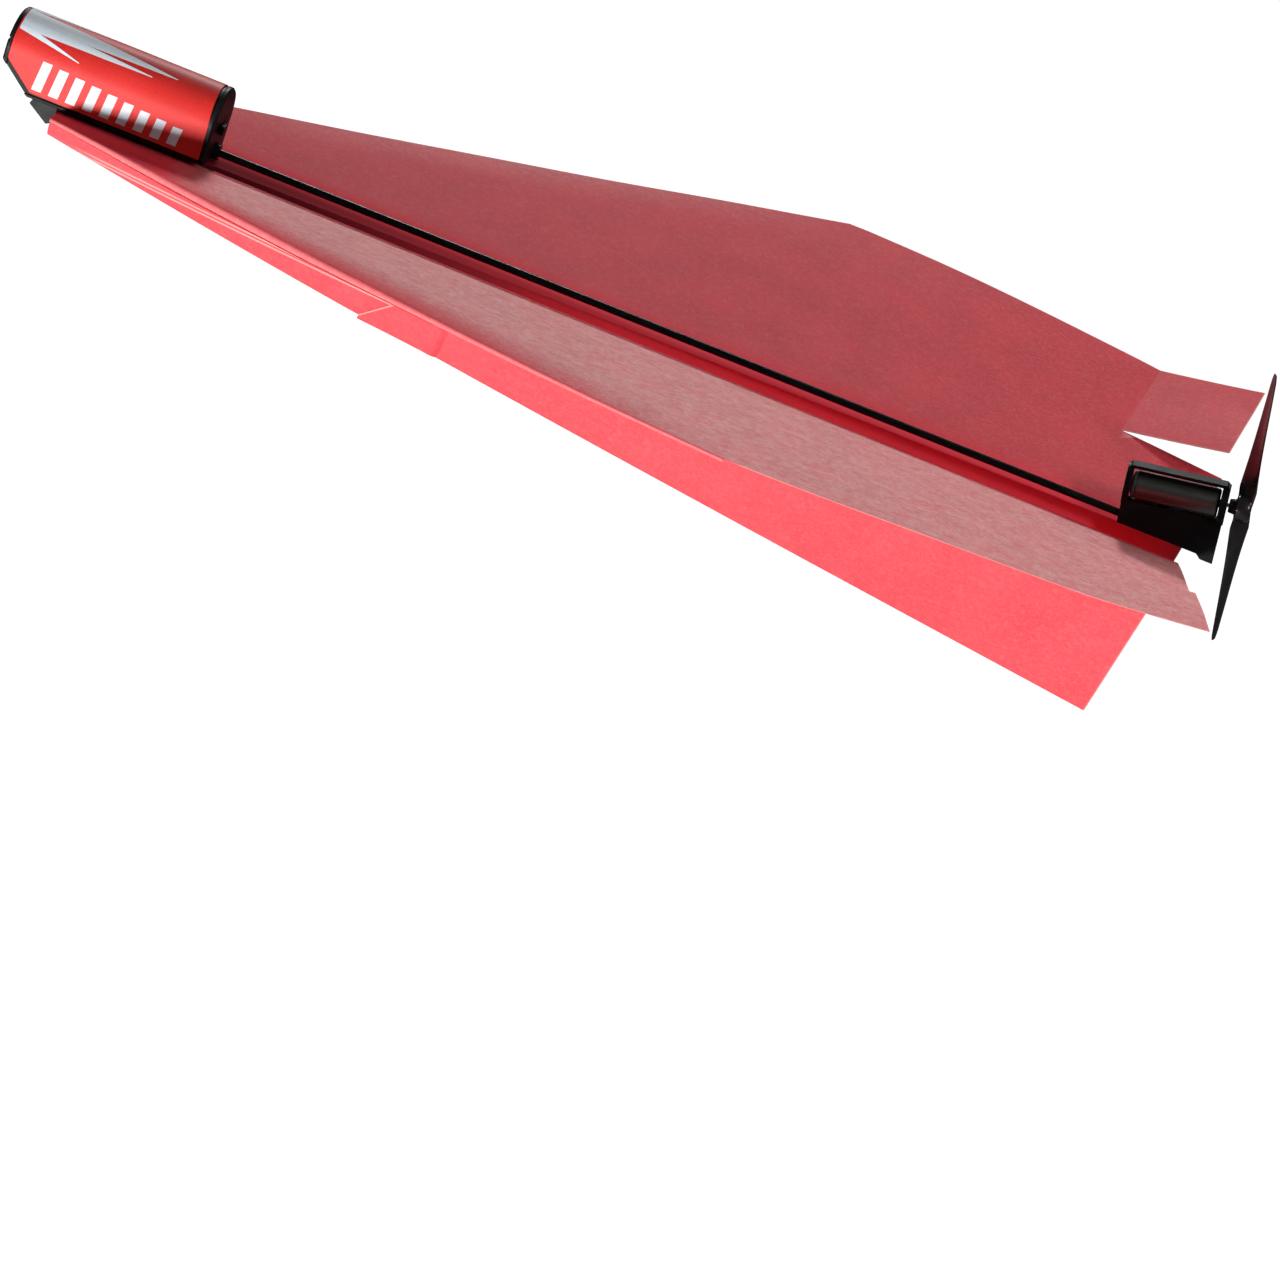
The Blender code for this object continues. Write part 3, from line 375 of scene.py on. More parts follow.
def label_look():
    """Glossy printed film: deep red ink with a faint metallic grain under a clear coat."""
    look = Surface("label_red", (0.56, 0.025, 0.022), 0.50)
    flake = look.grain(0.22 * MM, detail=2.0)
    bright = look.mix(look.ramp(flake, [(0.35, 0.0), (0.75, 0.5)]), (0.56, 0.024, 0.020),
                      (0.68, 0.050, 0.042))
    cloud = look.ramp(look.grain(7.0 * MM, detail=2.0), [(0.3, 0.0), (0.8, 0.35)])
    look.feed("Base Color", look.mix(cloud, bright, (0.42, 0.014, 0.014)))
    look.set("Specular IOR Level", 0.12)
    look.set("Coat Weight", 0.04)
    look.set("Coat Roughness", 0.35)
    look.bump(look.grain(1.6 * MM, detail=2.0), 0.06, 0.02 * MM)
    return look.material


def ink_look(name, colour, metallic):
    """Silver or white ink on the label."""
    look = Surface(name, colour, 0.55, metallic)
    grain = look.ramp(look.grain(0.3 * MM, (0.4, 1.0, 1.0), 4.0), [(0.3, 0.0), (0.8, 0.45)])
    look.feed("Base Color", look.mix(grain, colour, tuple(0.78 * channel for channel in colour)))
    look.set("Specular IOR Level", 0.25)
    look.bump(look.grain(0.4 * MM, detail=2.0), 0.05, 0.01 * MM)
    return look.material


def silver_ink():
    return ink_look("silver", (0.66, 0.74, 0.80), 0.0)


def white_ink():
    return ink_look("white", (0.60, 0.64, 0.70), 0.0)


def black_plastic():
    """Housing, clip, slider and motor frame."""
    return plastic_look("black", (0.004, 0.004, 0.0045), 0.46, 0.10, 0.10)


def propeller_plastic():
    return plastic_look("propeller", (0.020, 0.017, 0.017), 0.28, 0.04, 0.8)


def carbon_look():
    """Pultruded carbon: long fibres along the tube under a thin resin skin."""
    look = Surface("carbon", (0.004, 0.004, 0.005), 0.35)
    fibres = look.grain(0.22 * MM, (0.02, 1.0, 1.0), 4.0)
    look.feed("Base Color", look.mix(look.ramp(fibres, [(0.4, 0.0), (0.75, 1.0)]),
                                     (0.003, 0.003, 0.004), (0.014, 0.014, 0.016)))
    look.feed("Roughness", look.ramp(fibres, [(0.3, 0.26), (0.7, 0.42)]))
    look.set("Specular IOR Level", 0.08)
    look.bump(fibres, 0.15, 0.02 * MM)
    return look.material


def board_look():
    """Green solder mask with slightly raised tracks."""
    look = Surface("board", (0.01, 0.13, 0.05), 0.35)
    tracks = look.nodes.new("ShaderNodeTexBrick")
    tracks.inputs["Scale"].default_value = 700.0
    tracks.inputs["Color1"].default_value = (0.01, 0.12, 0.05, 1.0)
    tracks.inputs["Color2"].default_value = (0.01, 0.16, 0.06, 1.0)
    tracks.inputs["Mortar"].default_value = (0.03, 0.28, 0.12, 1.0)
    look.links.new(look.coordinates(), tracks.inputs["Vector"])
    look.feed("Base Color", tracks.outputs["Color"])
    look.bump(tracks.outputs["Fac"], 0.2, 0.02 * MM)
    return look.material


def camera_only(nodes, links, seen, unseen):
    """Value that differs between what the camera sees directly and what lights the object."""
    path = nodes.new("ShaderNodeLightPath")
    blend = nodes.new("ShaderNodeMix")
    blend.inputs[2].default_value = unseen
    blend.inputs[3].default_value = seen
    links.new(path.outputs["Is Camera Ray"], blend.inputs[0])
    return blend.outputs[0]


def floor_look():
    """Pale seamless backdrop, bright to the camera but dim as a light source."""
    look = Surface("backdrop", (0.6, 0.6, 0.6), 0.85)
    drift = look.ramp(look.grain(0.5, detail=2.0), [(0.3, FLOOR_SHADE), (0.8, FLOOR_SHADE + 0.03)])
    look.feed("Base Color", drift)
    look.set("Emission Color", (1.0, 1.0, 1.0, 1.0))
    look.feed("Emission Strength", camera_only(look.nodes, look.links, 1.0, 0.0))
    look.set("Specular IOR Level", 0.1)
    return look.material


# ---------------------------------------------------------------- mesh helpers
def link_mesh(name, mesh_data, material, smooth_angle=40.0):
    """Turn a bmesh into a linked, smooth-shaded object."""
    bmesh.ops.recalc_face_normals(mesh_data, faces=mesh_data.faces)
    mesh = bpy.data.meshes.new(name)
    mesh_data.to_mesh(mesh)
    mesh_data.free()
    mesh.materials.append(material)
    mesh.shade_smooth()
    mesh.set_sharp_from_angle(angle=math.radians(smooth_angle))
    made = bpy.data.objects.new(name, mesh)
    bpy.context.scene.collection.objects.link(made)
    return made


def add_piece(name, mesh_data, material, body, replaced=None, smooth_angle=40.0):
    """Make a piece that rides on a body, in place of a CAD node where one is named."""
    made = link_mesh(name, mesh_data, material, smooth_angle)
    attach(made, body)
    if replaced:
        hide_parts(replaced)


def grid_faces(columns, rows):
    """Quads of a regular grid whose points are listed column by column."""
    faces = []
    for column in range(columns - 1):
        for row in range(rows - 1):
            near = column * rows + row
            faces.append((near, near + rows, near + rows + 1, near + 1))
    return faces


def thick_sheet(points, faces, thickness, pale=None, deep=None, inward=None):
    """Give a sheet of quads an even thickness and a rounded rim.

    pale says how pale the paper is at each point, deep how much painted shade it takes there, from
    the fold valley, the module's shadow and the curled edge;
    deep counts only on the skin that faces inward. Both are kept with the mesh for the paper's
    colour.
    """
    normals = [Vector() for _ in points]
    uses = {}
    for face in faces:
        corners = [points[index] for index in face]
        normal = (corners[2] - corners[0]).cross(corners[3] - corners[1])
        for place, index in enumerate(face):
            normals[index] += normal
            edge = (index, face[(place + 1) % 4])
            uses[edge] = uses.get(edge, 0) + 1
    normals = [normal.normalized() for normal in normals]
    border = [edge for edge in uses if (edge[1], edge[0]) not in uses]
    outward = {}
    for first, second in border:
        along = (points[second] - points[first]).normalized()
        for index in (first, second):
            outward[index] = outward.get(index, Vector()) + along.cross(normals[index])

    made = bmesh.new()
    pale_layer = made.verts.layers.float.new("pale")
    painted_shade_layer = made.verts.layers.float.new("deep")
    half = thickness / 2.0

    def add_vertex(index, offset):
        vertex = made.verts.new(points[index] + offset)
        if pale:
            vertex[pale_layer] = pale[index]
        if deep and offset.dot(inward) > 0.0:
            vertex[painted_shade_layer] = deep[index]
        return vertex

    used = {index for face in faces for index in face}
    upper = {index: add_vertex(index, normals[index] * half) for index in used}
    lower = {index: add_vertex(index, -normals[index] * half) for index in used}
    rim = {index: add_vertex(index, way.normalized() * half) for index, way in outward.items()}
    for face in faces:
        made.faces.new([upper[index] for index in face])
        made.faces.new([lower[index] for index in reversed(face)])
    for first, second in border:
        for skin in (upper, lower):
            made.faces.new((skin[second], skin[first], rim[first], rim[second]))
    return made


def turned(profile, steps):
    """Revolve (x, radius) points about the X axis; radius 0 closes an end."""
    made = bmesh.new()
    rows = []
    for x, radius in profile:
        if radius == 0.0:
            rows.append([made.verts.new((x, 0.0, 0.0))])
            continue
        turns = [2.0 * math.pi * step / steps for step in range(steps)]
        rows.append([made.verts.new((x, radius * math.cos(turn), radius * math.sin(turn)))
                     for turn in turns])
    for near, far in zip(rows, rows[1:]):
        for step in range(steps):
            after = (step + 1) % steps
            corners = (near[step % len(near)], near[after % len(near)],
                       far[after % len(far)], far[step % len(far)])
            made.faces.new(list(dict.fromkeys(corners)))
    return made


def smooth_step(value):
    """Smooth rise from 0 to 1 as the value does so; level outside that."""
    share = min(max(value, 0.0), 1.0)
    return share * share * (3.0 - 2.0 * share)


def ease(value, start, end):
    """Smooth rise from 0 at start to 1 at end."""
    return smooth_step((value - start) / (end - start))


def spread(first, last, count):
    """Evenly spaced values, both ends included."""
    return [first + (last - first) * step / (count - 1) for step in range(count)]


# ---------------------------------------------------------------- the folded sheet
def keel_height(x):
    return KEEL_NOSE_HEIGHT + x * math.tan(CREASE_ANGLE)


def outer_edge(x):
    """Sheet y of the wing's outer edge: swept, then the bowed side edge."""
    if x < CORNER_FROM_NOSE:
        return NOSE_HALF_WIDTH + (HALF_SHEET - NOSE_HALF_WIDTH) * x / CORNER_FROM_NOSE
    share = (x - CORNER_FROM_NOSE) / (HINGE_X - CORNER_FROM_NOSE)
    return HALF_SHEET + SIDE_BOW * math.sin(math.pi * min(share, 1.0))


def keel_matrix(side):
    return Matrix.Translation(NOSE_POINT) @ Matrix.Rotation(-SIDES[side] * KEEL_HALF_ANGLE, 4, "X")


def wing_matrix(side):
    sign = SIDES[side]
    turn = Matrix.Rotation(sign * (KEEL_HALF_ANGLE + DIHEDRAL), 4, "X")
    return (keel_matrix(side) @ Matrix.Translation((0.0, 0.0, KEEL_NOSE_HEIGHT))
            @ Matrix.Rotation(-CREASE_ANGLE, 4, "Y") @ turn)


def on_wing(x, y):
    """Flattened sheet point as (along the wing crease, away from it)."""
    rise = y - KEEL_NOSE_HEIGHT
    return (x * math.cos(CREASE_ANGLE) + rise * math.sin(CREASE_ANGLE),
            rise * math.cos(CREASE_ANGLE) - x * math.sin(CREASE_ANGLE))


def elevon_matrix(side):
    sign = SIDES[side]
    along, away = on_wing(HINGE_X, ELEVON_INNER)
    return (wing_matrix(side) @ Matrix.Translation((along, sign * away, ELEVON_LIFT))
            @ Matrix.Rotation(-sign * CREASE_ANGLE, 4, "Z")
            @ Matrix.Rotation(-ELEVON_TRIM[side], 4, "Y"))


def crown(side, x, y):
    """Height of the wing's soft shape at a sheet point; zero along the crease and the hinge."""
    width = max(outer_edge(x) - keel_height(x), 1.0 * MM)
    gap = max(outer_edge(x) - y, 0.0)
    fade = 1.0 - smooth_step((x - CROWN_END) / CROWN_FADE)
    fade *= smooth_step(x / CROWN_START)
    arch = CROWN * fade * math.sin(math.pi * min(gap / width, 1.0))
    reach = min(DROOP_REACH, 0.7 * width)
    along = min(x / CORNER_FROM_NOSE, 1.0) ** DROOP_LEAN
    droop = DROOP[side] * math.sin(math.pi * along)
    return arch - droop * max(1.0 - gap / reach, 0.0) ** 2


def fold_radius(x):
    """The folded leading edge is fattest where most layers meet."""
    if x < FOLD_WIDEST:
        return FOLD_RADIUS + FOLD_SWELL * smooth_step(x / FOLD_WIDEST + FOLD_HEAD_START)
    share = (x - FOLD_WIDEST) / (CORNER_FROM_NOSE - FOLD_WIDEST)
    return FOLD_RADIUS + FOLD_SWELL * (1.0 - smooth_step(share * FOLD_HASTE))


def valley_shade_depth(side, x, away=0.0):
    """Painted shade in the valley between the wings: 1 is darkest, 0 is the open wing."""
    narrow = 1.0 - ease(x, *VALLEY_SHADE_FADES)
    return (VALLEY_SHADE_AFT + VALLEY_SHADE_NOSE * narrow) * (1.0 - ease(away, 0.0, VALLEY_SHADE_REACH[side]))


def shade_depth(side, x, gap):
    """Painted shade: the module's painted shadow beside it, and darker where the leading edge curls
    down.
    """
    beside = MODULE_SHADE[side] * (1.0 - ease(x, *MODULE_SHADE_ENDS))
    curled = EDGE_SHADE[side] * (1.0 - ease(x, *EDGE_SHADE_ENDS))
    return max(beside, curled * (1.0 - ease(gap, 0.0, EDGE_SHADE_WIDTH)))


def ripple(x, y, side):
    """Small unevenness of a hand-folded sheet, fading out towards the creases."""
    fade = ease(y - keel_height(x), 0.0, 12.0 * MM) * ease(abs(x - HINGE_X), 0.0, 8.0 * MM)
    place = Vector((x / RIPPLE_LENGTH[0], y / RIPPLE_LENGTH[1], WING_NOISE * SIDES[side]))
    return RIPPLE * fade * noise.noise(place)


def wing_point(side, x, y, drop=0.0):
    """Point on the wing's skin, drop below it."""
    sign = SIDES[side]
    along, away = on_wing(x, y)
    lift = ELEVON_LIFT * ease(away, 0.0, LIFT_REACH) + crown(side, x, y) + ripple(x, y, side)
    return wing_matrix(side) @ Vector((along, sign * away, lift - drop))


def flap_aft_edge():
    """Where the folded-in flap's rear edge crosses the wing crease."""
    run = CORNER_FROM_NOSE - FLAP_CORNER[0]
    rise = HALF_SHEET - FLAP_CORNER[1]
    share = (keel_height(FLAP_CORNER[0]) - FLAP_CORNER[1]) / (rise - run * math.tan(CREASE_ANGLE))
    return FLAP_CORNER[0] + share * run


def flap_point(side, share_aft, share_in, drop):
    """Point of the flap under the wing: share_in runs from the leading edge to the crease."""
    edge = Vector((CORNER_FROM_NOSE * share_aft, outer_edge(CORNER_FROM_NOSE * share_aft)))
    root_x = flap_aft_edge() * share_aft
    root = Vector((root_x, keel_height(root_x) + CREASE_MARGIN))
    place = edge.lerp(root, share_in)
    return wing_point(side, place.x, place.y, drop)


def is_swept(x):
    """True along the folded leading edge, false along the cut side edge."""
    return x <= CORNER_FROM_NOSE + TINY


def wing_rows(x):
    """Sheet y of the skin's rows at one station, from the crease outwards."""
    inner = keel_height(x)
    if x > HINGE_X + TINY:
        shares = SKIN_SHARES[:SLIT_ROW + 1]
        rows = [inner + share / SLIT_SHARE * (SLIT_EDGE - inner) for share in shares]
        rows[SLIT_ROW - 1] = SLIT_EDGE - EDGE_WEAR
        return rows
    edge = outer_edge(x) - (fold_radius(x) if is_swept(x) else 0.0)
    rows = [inner + share * (edge - RIM_MARGIN - inner) for share in SKIN_SHARES]
    return rows + [edge - 0.5 * RIM_MARGIN, edge - EDGE_WEAR, edge]


def skin_column(side, x):
    """The wing's skin at one station, as (point, paleness, painted shade) from the crease outwards.
    """
    column = []
    rows = wing_rows(x)
    for y in rows:
        # Painted shade: the valley beside the crease, the module's shadow and the curled edge.
        valley = valley_shade_depth(side, x, y - keel_height(x))
        depth = max(valley, shade_depth(side, x, outer_edge(x) - y))
        cut_edge = (y == rows[-1] and not is_swept(x)) or x > PAPER_LENGTH - TINY
        column.append((wing_point(side, x, y), CUT_PALENESS if cut_edge else 0.0, depth))
    return column + [None] * (len(SKIN_SHARES) + RIM_ROWS - len(rows))


def roll_column(side, x):
    """Round the folded leading edge, down to the top of the flap beneath."""
    down = -(wing_matrix(side).to_3x3() @ Vector((0.0, 0.0, 1.0)))
    radius = fold_radius(x)
    edge = wing_point(side, x, outer_edge(x) - radius)
    across = (wing_point(side, x, outer_edge(x)) - edge).normalized()
    column = []
    for step in range(1, FOLD_STEPS + 1):
        turn = math.pi * step / FOLD_STEPS
        place = edge + across * radius * math.sin(turn) + down * radius * (1.0 - math.cos(turn))
        column.append((place, FOLD_PALENESS * math.sin(turn), 0.0))
    return column


def flap_column(side, x):
    """The flap folded in under the wing, which closes up to it away from the roll."""
    column = []
    for share in FLAP_SHARES:
        relax = ease(share, 0.0, FLAP_RELAX)
        drop = 2.0 * fold_radius(x) * (1.0 - relax) + 2.0 * LAYER_STEP * relax
        share_in = FLAP_OFFSET + (1.0 - FLAP_OFFSET) * share
        column.append((flap_point(side, x / CORNER_FROM_NOSE, share_in, drop), 0.0, 0.0))
    return column


def build_wing(side, paper):
    """The wing's skin, rolled round the leading edge into the flap folded in beneath."""
    stations = spread(0.0, CORNER_FROM_NOSE, 41)
    stations += spread(CORNER_FROM_NOSE, HINGE_X, 19)[1:]
    stations += spread(HINGE_X, PAPER_LENGTH - EDGE_WEAR, 8)[1:] + [PAPER_LENGTH]
    cells = []
    for x in stations:
        cells += skin_column(side, x)
        if is_swept(x):
            cells += roll_column(side, x) + flap_column(side, x)
        else:
            cells += [None] * (FOLD_STEPS + len(FLAP_SHARES))
    faces = [face for face in grid_faces(len(stations), len(cells) // len(stations))
             if all(cells[index] for index in face)]
    points, pale, deep = zip(*(cell or (None, 0.0, 0.0) for cell in cells))
    upward = wing_matrix(side).to_3x3() @ Vector((0.0, 0.0, 1.0))
    mesh = thick_sheet(points, faces, SHEET, pale, deep, upward)
    add_piece("paper_wing_" + side, mesh, paper, side + "_wing", "wing_" + side)


def build_wing_layer(side, paper):
    """Second layer of the flap, between the wing's skin and the flap."""
    columns = spread(0.0, 1.0 - LAYER_INSET, 36)
    rows = spread(LAYER_INSET, 1.0, 16)
    points = []
    for share_aft in columns:
        for share_in in rows:
            radius = fold_radius(share_aft * CORNER_FROM_NOSE)
            depth = LAYER_STEP + (radius - LAYER_STEP) * (1.0 - ease(share_in, 0.0, LAYER_RELAX))
            points.append(flap_point(side, share_aft, share_in, depth))
    mesh = thick_sheet(points, grid_faces(len(columns), len(rows)), SHEET)
    add_piece("paper_wing_layer_" + side, mesh, paper, side + "_wing")


def keel_bottom(x):
    """Height of the keel's bottom, which bows down below the straight crease."""
    if x < KEEL_BOW_AT:
        share = x / KEEL_BOW_AT
    else:
        share = (PAPER_LENGTH - x) / (PAPER_LENGTH - KEEL_BOW_AT)
    return -KEEL_BOW * math.sin(0.5 * math.pi * share)


def keel_point(side, x, height, offset=0.0):
    """Point on the keel's outer face, height above the straight bottom crease."""
    top = keel_height(x)
    share = min(max(height / top, 0.0), 1.0)
    forward = NOSE_BULGE * 4.0 * share * (1.0 - share) + NOSE_LEAN * (1.0 - share)
    forward *= max(1.0 - x / NOSE_REACH, 0.0)
    bowed = height + keel_bottom(x) * (1.0 - share)
    outward = SIDES[side] * (offset + WALL_GAP * (1.0 - share))
    place = keel_matrix(side) @ Vector((x - forward, outward, max(bowed, 0.0)))
    return place + Vector((0.0, 0.0, min(bowed, 0.0)))


def build_keel(side, paper):
    """One wall of the V keel, from the bottom crease to the wing crease."""
    stations = spread(0.0, PAPER_LENGTH - EDGE_WEAR, 61) + [PAPER_LENGTH]
    shares = [0.0, 0.03, 0.1] + spread(0.2, 1.0, 9)
    points = []
    for x in stations:
        for share in shares:
            place = Vector((x / WALL_RIPPLE_LENGTH, share, WALL_NOISE * SIDES[side]))
            wave = WALL_RIPPLE * math.sin(math.pi * share) * noise.noise(place)
            points.append(keel_point(side, x, share * keel_height(x), wave))
    pale = [0.0] * (len(points) - len(shares)) + [CUT_PALENESS] * len(shares)
    # Painted valley shade on the wall's inner skin.
    deep = [valley_shade_depth(side, x) for x in stations for _ in shares]
    mesh = thick_sheet(points, grid_faces(len(stations), len(shares)), SHEET, pale, deep,
                       Vector((0.0, -SIDES[side], 0.0)))
    add_piece("paper_keel_" + side, mesh, paper, side + "_keel", "keel_wall_" + side)


def build_keel_layers(side, paper):
    """The flap's two layers where they run down the outside of the keel."""
    slope = FLAP_CORNER[1] / (FLAP_CORNER[0] - FLAP_FRONT)
    cross = flap_aft_edge()
    columns = spread(0.0, 1.0, 40)
    for name, level, lift in (("inner", 1, 0.0), ("outer", 2, FLAP_STEP)):
        points = []
        pale = []
        for share in columns:
            low_x = share * (FLAP_CORNER[0] - FLAP_SETBACK * lift)
            low = max((low_x - FLAP_FRONT) * slope + lift, FLAP_FOOT * level)
            high_x = share * (cross - FLAP_SETBACK * lift)
            high = keel_height(high_x) - CREASE_MARGIN
            free = min(max(low_x / FLAP_FRONT - 0.6, 0.0), 1.0)
            wear = EDGE_WEAR / max(high - low, EDGE_WEAR)
            for row in [0.0, wear, 1.3 * wear, 0.25, 0.4, 0.6, 0.8, 1.0]:
                place = Vector((low_x, low)).lerp(Vector((high_x, high)), row)
                curl = EDGE_LIFT * free * max(1.0 - row / EDGE_LIFT_SHARE, 0.0)
                points.append(keel_point(side, place.x, place.y, LAYER_STEP * level + curl))
                pale.append(EDGE_PALENESS * free if row <= wear else 0.0)
        mesh = thick_sheet(points, grid_faces(len(columns), 8), SHEET, pale)
        add_piece("paper_flap_" + name + "_" + side, mesh, paper, side + "_keel")


def build_tongue(side, paper):
    """Half of the lock triangle, folded forward over the flap's corner."""
    points = []
    pale = []
    columns = spread(0.02, 1.0, 12) + list(TONGUE_TUCK)
    for share in columns:
        x = TONGUE_START + TONGUE_LENGTH * share
        low = -TONGUE_DROP * max(1.0 - share, 0.0) ** 1.5
        high = TONGUE_LENGTH * min(share, 1.0)
        wear = 1.0 - min(EDGE_WEAR / (high - low), 0.3)
        offset = 3.0 * LAYER_STEP * TONGUE_TUCK.get(share, 1.0)
        for row in [0.0, 0.2, 0.4, 0.6, 0.97 * wear, wear, 1.0]:
            curl = TONGUE_CURL * max(1.0 - share, 0.0) * row
            points.append(keel_point(side, x, low + (high - low) * row, offset + curl))
            pale.append(EDGE_PALENESS if row >= wear and share < 1.0 else 0.0)
    mesh = thick_sheet(points, grid_faces(len(columns), 7), SHEET, pale)
    add_piece("paper_tongue_" + side, mesh, paper, side + "_keel",
              "lock_tongue_" + side)


def build_elevon(side, paper):
    """Bent trailing-edge flap, with a slight curl towards its free edge."""
    sign = SIDES[side]
    span = HALF_SHEET - ELEVON_INNER
    points = []
    pale = []
    columns = spread(0.0, 0.99, 12) + [1.0]
    rows = [0.0, 0.01] + spread(0.08, 0.92, 11) + [0.99, 1.0]
    for column in columns:
        for row in rows:
            pale.append(CUT_PALENESS if column == 1.0 or row in (0.0, 1.0) else 0.0)
            curl = ELEVON_CURL * column * column
            wave = ELEVON_WAVE * column * math.sin(5.0 * row + sign)
            outward = SLIT_GAP + (span - SLIT_GAP) * row
            place = Vector((ELEVON_CHORD * column, sign * outward, curl + wave))
            points.append(elevon_matrix(side) @ place)
    mesh = thick_sheet(points, grid_faces(len(columns), len(rows)), SHEET, pale)
    add_piece("paper_elevon_" + side, mesh, paper, side + "_elevon", "elevon_" + side)


# ---------------------------------------------------------------- the printed label
def tube_matrix():
    lift = Matrix.Translation(NOSE_POINT + Vector((0.0, 0.0, TUBE_HEIGHT)))
    return lift @ Matrix.Rotation(-TUBE_TILT, 4, "Y")


def on_module(along, height, radius, sign):
    """Point of the module's skin; height is measured round it from where the arch springs."""
    if height <= 0.0:
        place = Vector((along, sign * radius, ARCH_CENTRE + height))
    else:
        turn = height / NOSE_RADIUS
        place = Vector((along, sign * radius * math.cos(turn), ARCH_CENTRE + radius * math.sin(turn)))
    return tube_matrix() @ place


def label_front(height):
    """Front edge of the label at a height, set back from the sloping chin."""
    slope = (CHIN_BOTTOM - CHIN_TOP).normalized()
    start = CHIN_TOP + Vector((-slope.y, slope.x)) * CHIN_RIM
    run = (height + ARCH_CENTRE - start.y) / slope.y
    return max(LABEL_FRONT, start.x + run * slope.x)


def build_label(red):
    """Film wrapped over the module from foot to foot."""
    foot = LABEL_FOOT - ARCH_CENTRE
    half_turn = 0.5 * math.pi * NOSE_RADIUS
    sides = [foot * (1.0 - share) for share in spread(0.0, 1.0, 15)]
    arch = spread(0.0, half_turn, 25)[1:]
    rows = [(height, -1.0) for height in sides + arch]
    rows += [(height, 1.0) for height in reversed(sides + arch[:-1])]
    columns = [0.0, 0.01] + spread(0.04, 0.96, 24) + [0.99, 1.0]
    points = []
    for share in columns:
        for height, sign in rows:
            front = label_front(height)
            sweep = LABEL_REAR_SWEEP * math.sin(max(height, 0.0) / NOSE_RADIUS)
            along = front + (LABEL_REAR - sweep - front) * share
            points.append(on_module(along, height, LABEL_SKIN - 0.5 * LABEL_THICKNESS, sign))
    mesh = thick_sheet(points, grid_faces(len(columns), len(rows)), LABEL_THICKNESS)
    add_piece("label_wrap", mesh, red, "kit", "nose_label")


def print_patch(name, outline, ink, sign, level):
    """Thin inked patch; outline gives (along, height) for a share across and a share up it."""
    columns = spread(0.0, 1.0, 24)
    rows = spread(0.0, 1.0, 9)
    radius = LABEL_SKIN + INK_STEP * (1 + level)
    points = [on_module(*outline(share, row), radius, sign) for share in columns for row in rows]
    mesh = thick_sheet(points, grid_faces(len(columns), len(rows)), INK_THICKNESS)
    add_piece(name, mesh, ink, "kit")


def streak_outline(start, reach, low, high, tip):
    """Streak from the label's front edge, tapering to a tip further aft; sizes in millimetres."""
    def outline(share, row):
        foot = low + (tip - low) * share
        head = high + (tip + 0.12 - high) * share ** 1.15
        return (start + (reach - start) * share) * MM, (foot + (head - foot) * row) * MM
    return outline


def bar_outline(start, foot, tall):
    """Upright bar that leans slightly aft; sizes in millimetres."""
    def outline(share, row):
        along = start + BAR_WIDTH * share + BAR_LEAN * tall * row
        return along * MM, (foot + tall * row) * MM
    return outline


def build_label_print(silver, white):
    """Plain tapered streaks and a row of slanted bars, the same on both sides."""
    front = LABEL_FRONT / MM + 0.2
    for side, sign in SIDES.items():
        for number, shape in enumerate(STREAKS, 1):
            streak = streak_outline(front, *shape)
            print_patch(f"label_streak_{number}_{side}", streak, silver, sign, number)
        for number in range(BAR_COUNT):
            tall = BAR_FRONT_HEIGHT - number * BAR_DROP
            bar = bar_outline(BAR_START + BAR_PITCH * number, BAR_FOOT, tall)
            print_patch(f"label_bar_{number + 1}_{side}", bar, white, sign, 1)


# ---------------------------------------------------------------- the propeller
def motor_matrix():
    joint = JOINTS["propeller_spin"]
    tilt = math.atan2(joint["axis"][2], joint["axis"][0])
    return Matrix.Translation(joint["pos_m"]) @ Matrix.Rotation(-tilt, 4, "Y")


def blade_section(radius, sign, count):
    """Closed lens-shaped section of a blade; the chord follows the pitch helix."""
    share = radius / PROP_RADIUS
    chord = BLADE_ROOT_CHORD + BLADE_SWELL * share * max(1.0 - share, 0.0) ** 0.75
    if share > TIP_ROUNDING:
        chord *= math.sqrt(max(1.0 - ((share - TIP_ROUNDING) / 0.09) ** 2, 0.05))
    thickness = (0.85 - 0.5 * share) * MM
    pitch_angle = math.atan(PROP_PITCH / (2.0 * math.pi * max(radius, 3.5 * MM)))
    section = []
    for step in range(2 * count):
        across = math.cos(math.pi * step / count) / 2.0
        upper = 1.0 if step < count else -1.0
        body = max(1.0 - (2.0 * across) ** 2, 0.0)
        lift = thickness * 0.5 * math.sqrt(body) * upper + 0.06 * chord * body
        along = across * chord
        aft = along * math.sin(pitch_angle) + lift * math.cos(pitch_angle)
        sideways = along * math.cos(pitch_angle) - lift * math.sin(pitch_angle)
        section.append(Vector((0.6 * MM + aft, -sign * sideways, sign * radius)))
    return section


def build_propeller(plastic):
    """Hub and collar with two smooth twisted blades."""
    made = turned([(x * MM, radius * MM) for x, radius in HUB], 56)
    count = 14
    for sign in (1.0, -1.0):
        radii = spread(BLADE_ROOT, 22.0 * MM, 34) + TIP_RADII
        rows = [[made.verts.new(point) for point in blade_section(radius, sign, count)]
                for radius in radii]
        for near, far in zip(rows, rows[1:]):
            for step in range(2 * count):
                after = (step + 1) % (2 * count)
                made.faces.new((near[step], near[after], far[after], far[step]))
        made.faces.new(rows[0])
        made.faces.new(rows[-1])
    bmesh.ops.transform(made, matrix=motor_matrix(), verts=made.verts)
    add_piece("propeller_blades", made, plastic, "rotor", "propeller", 50.0)


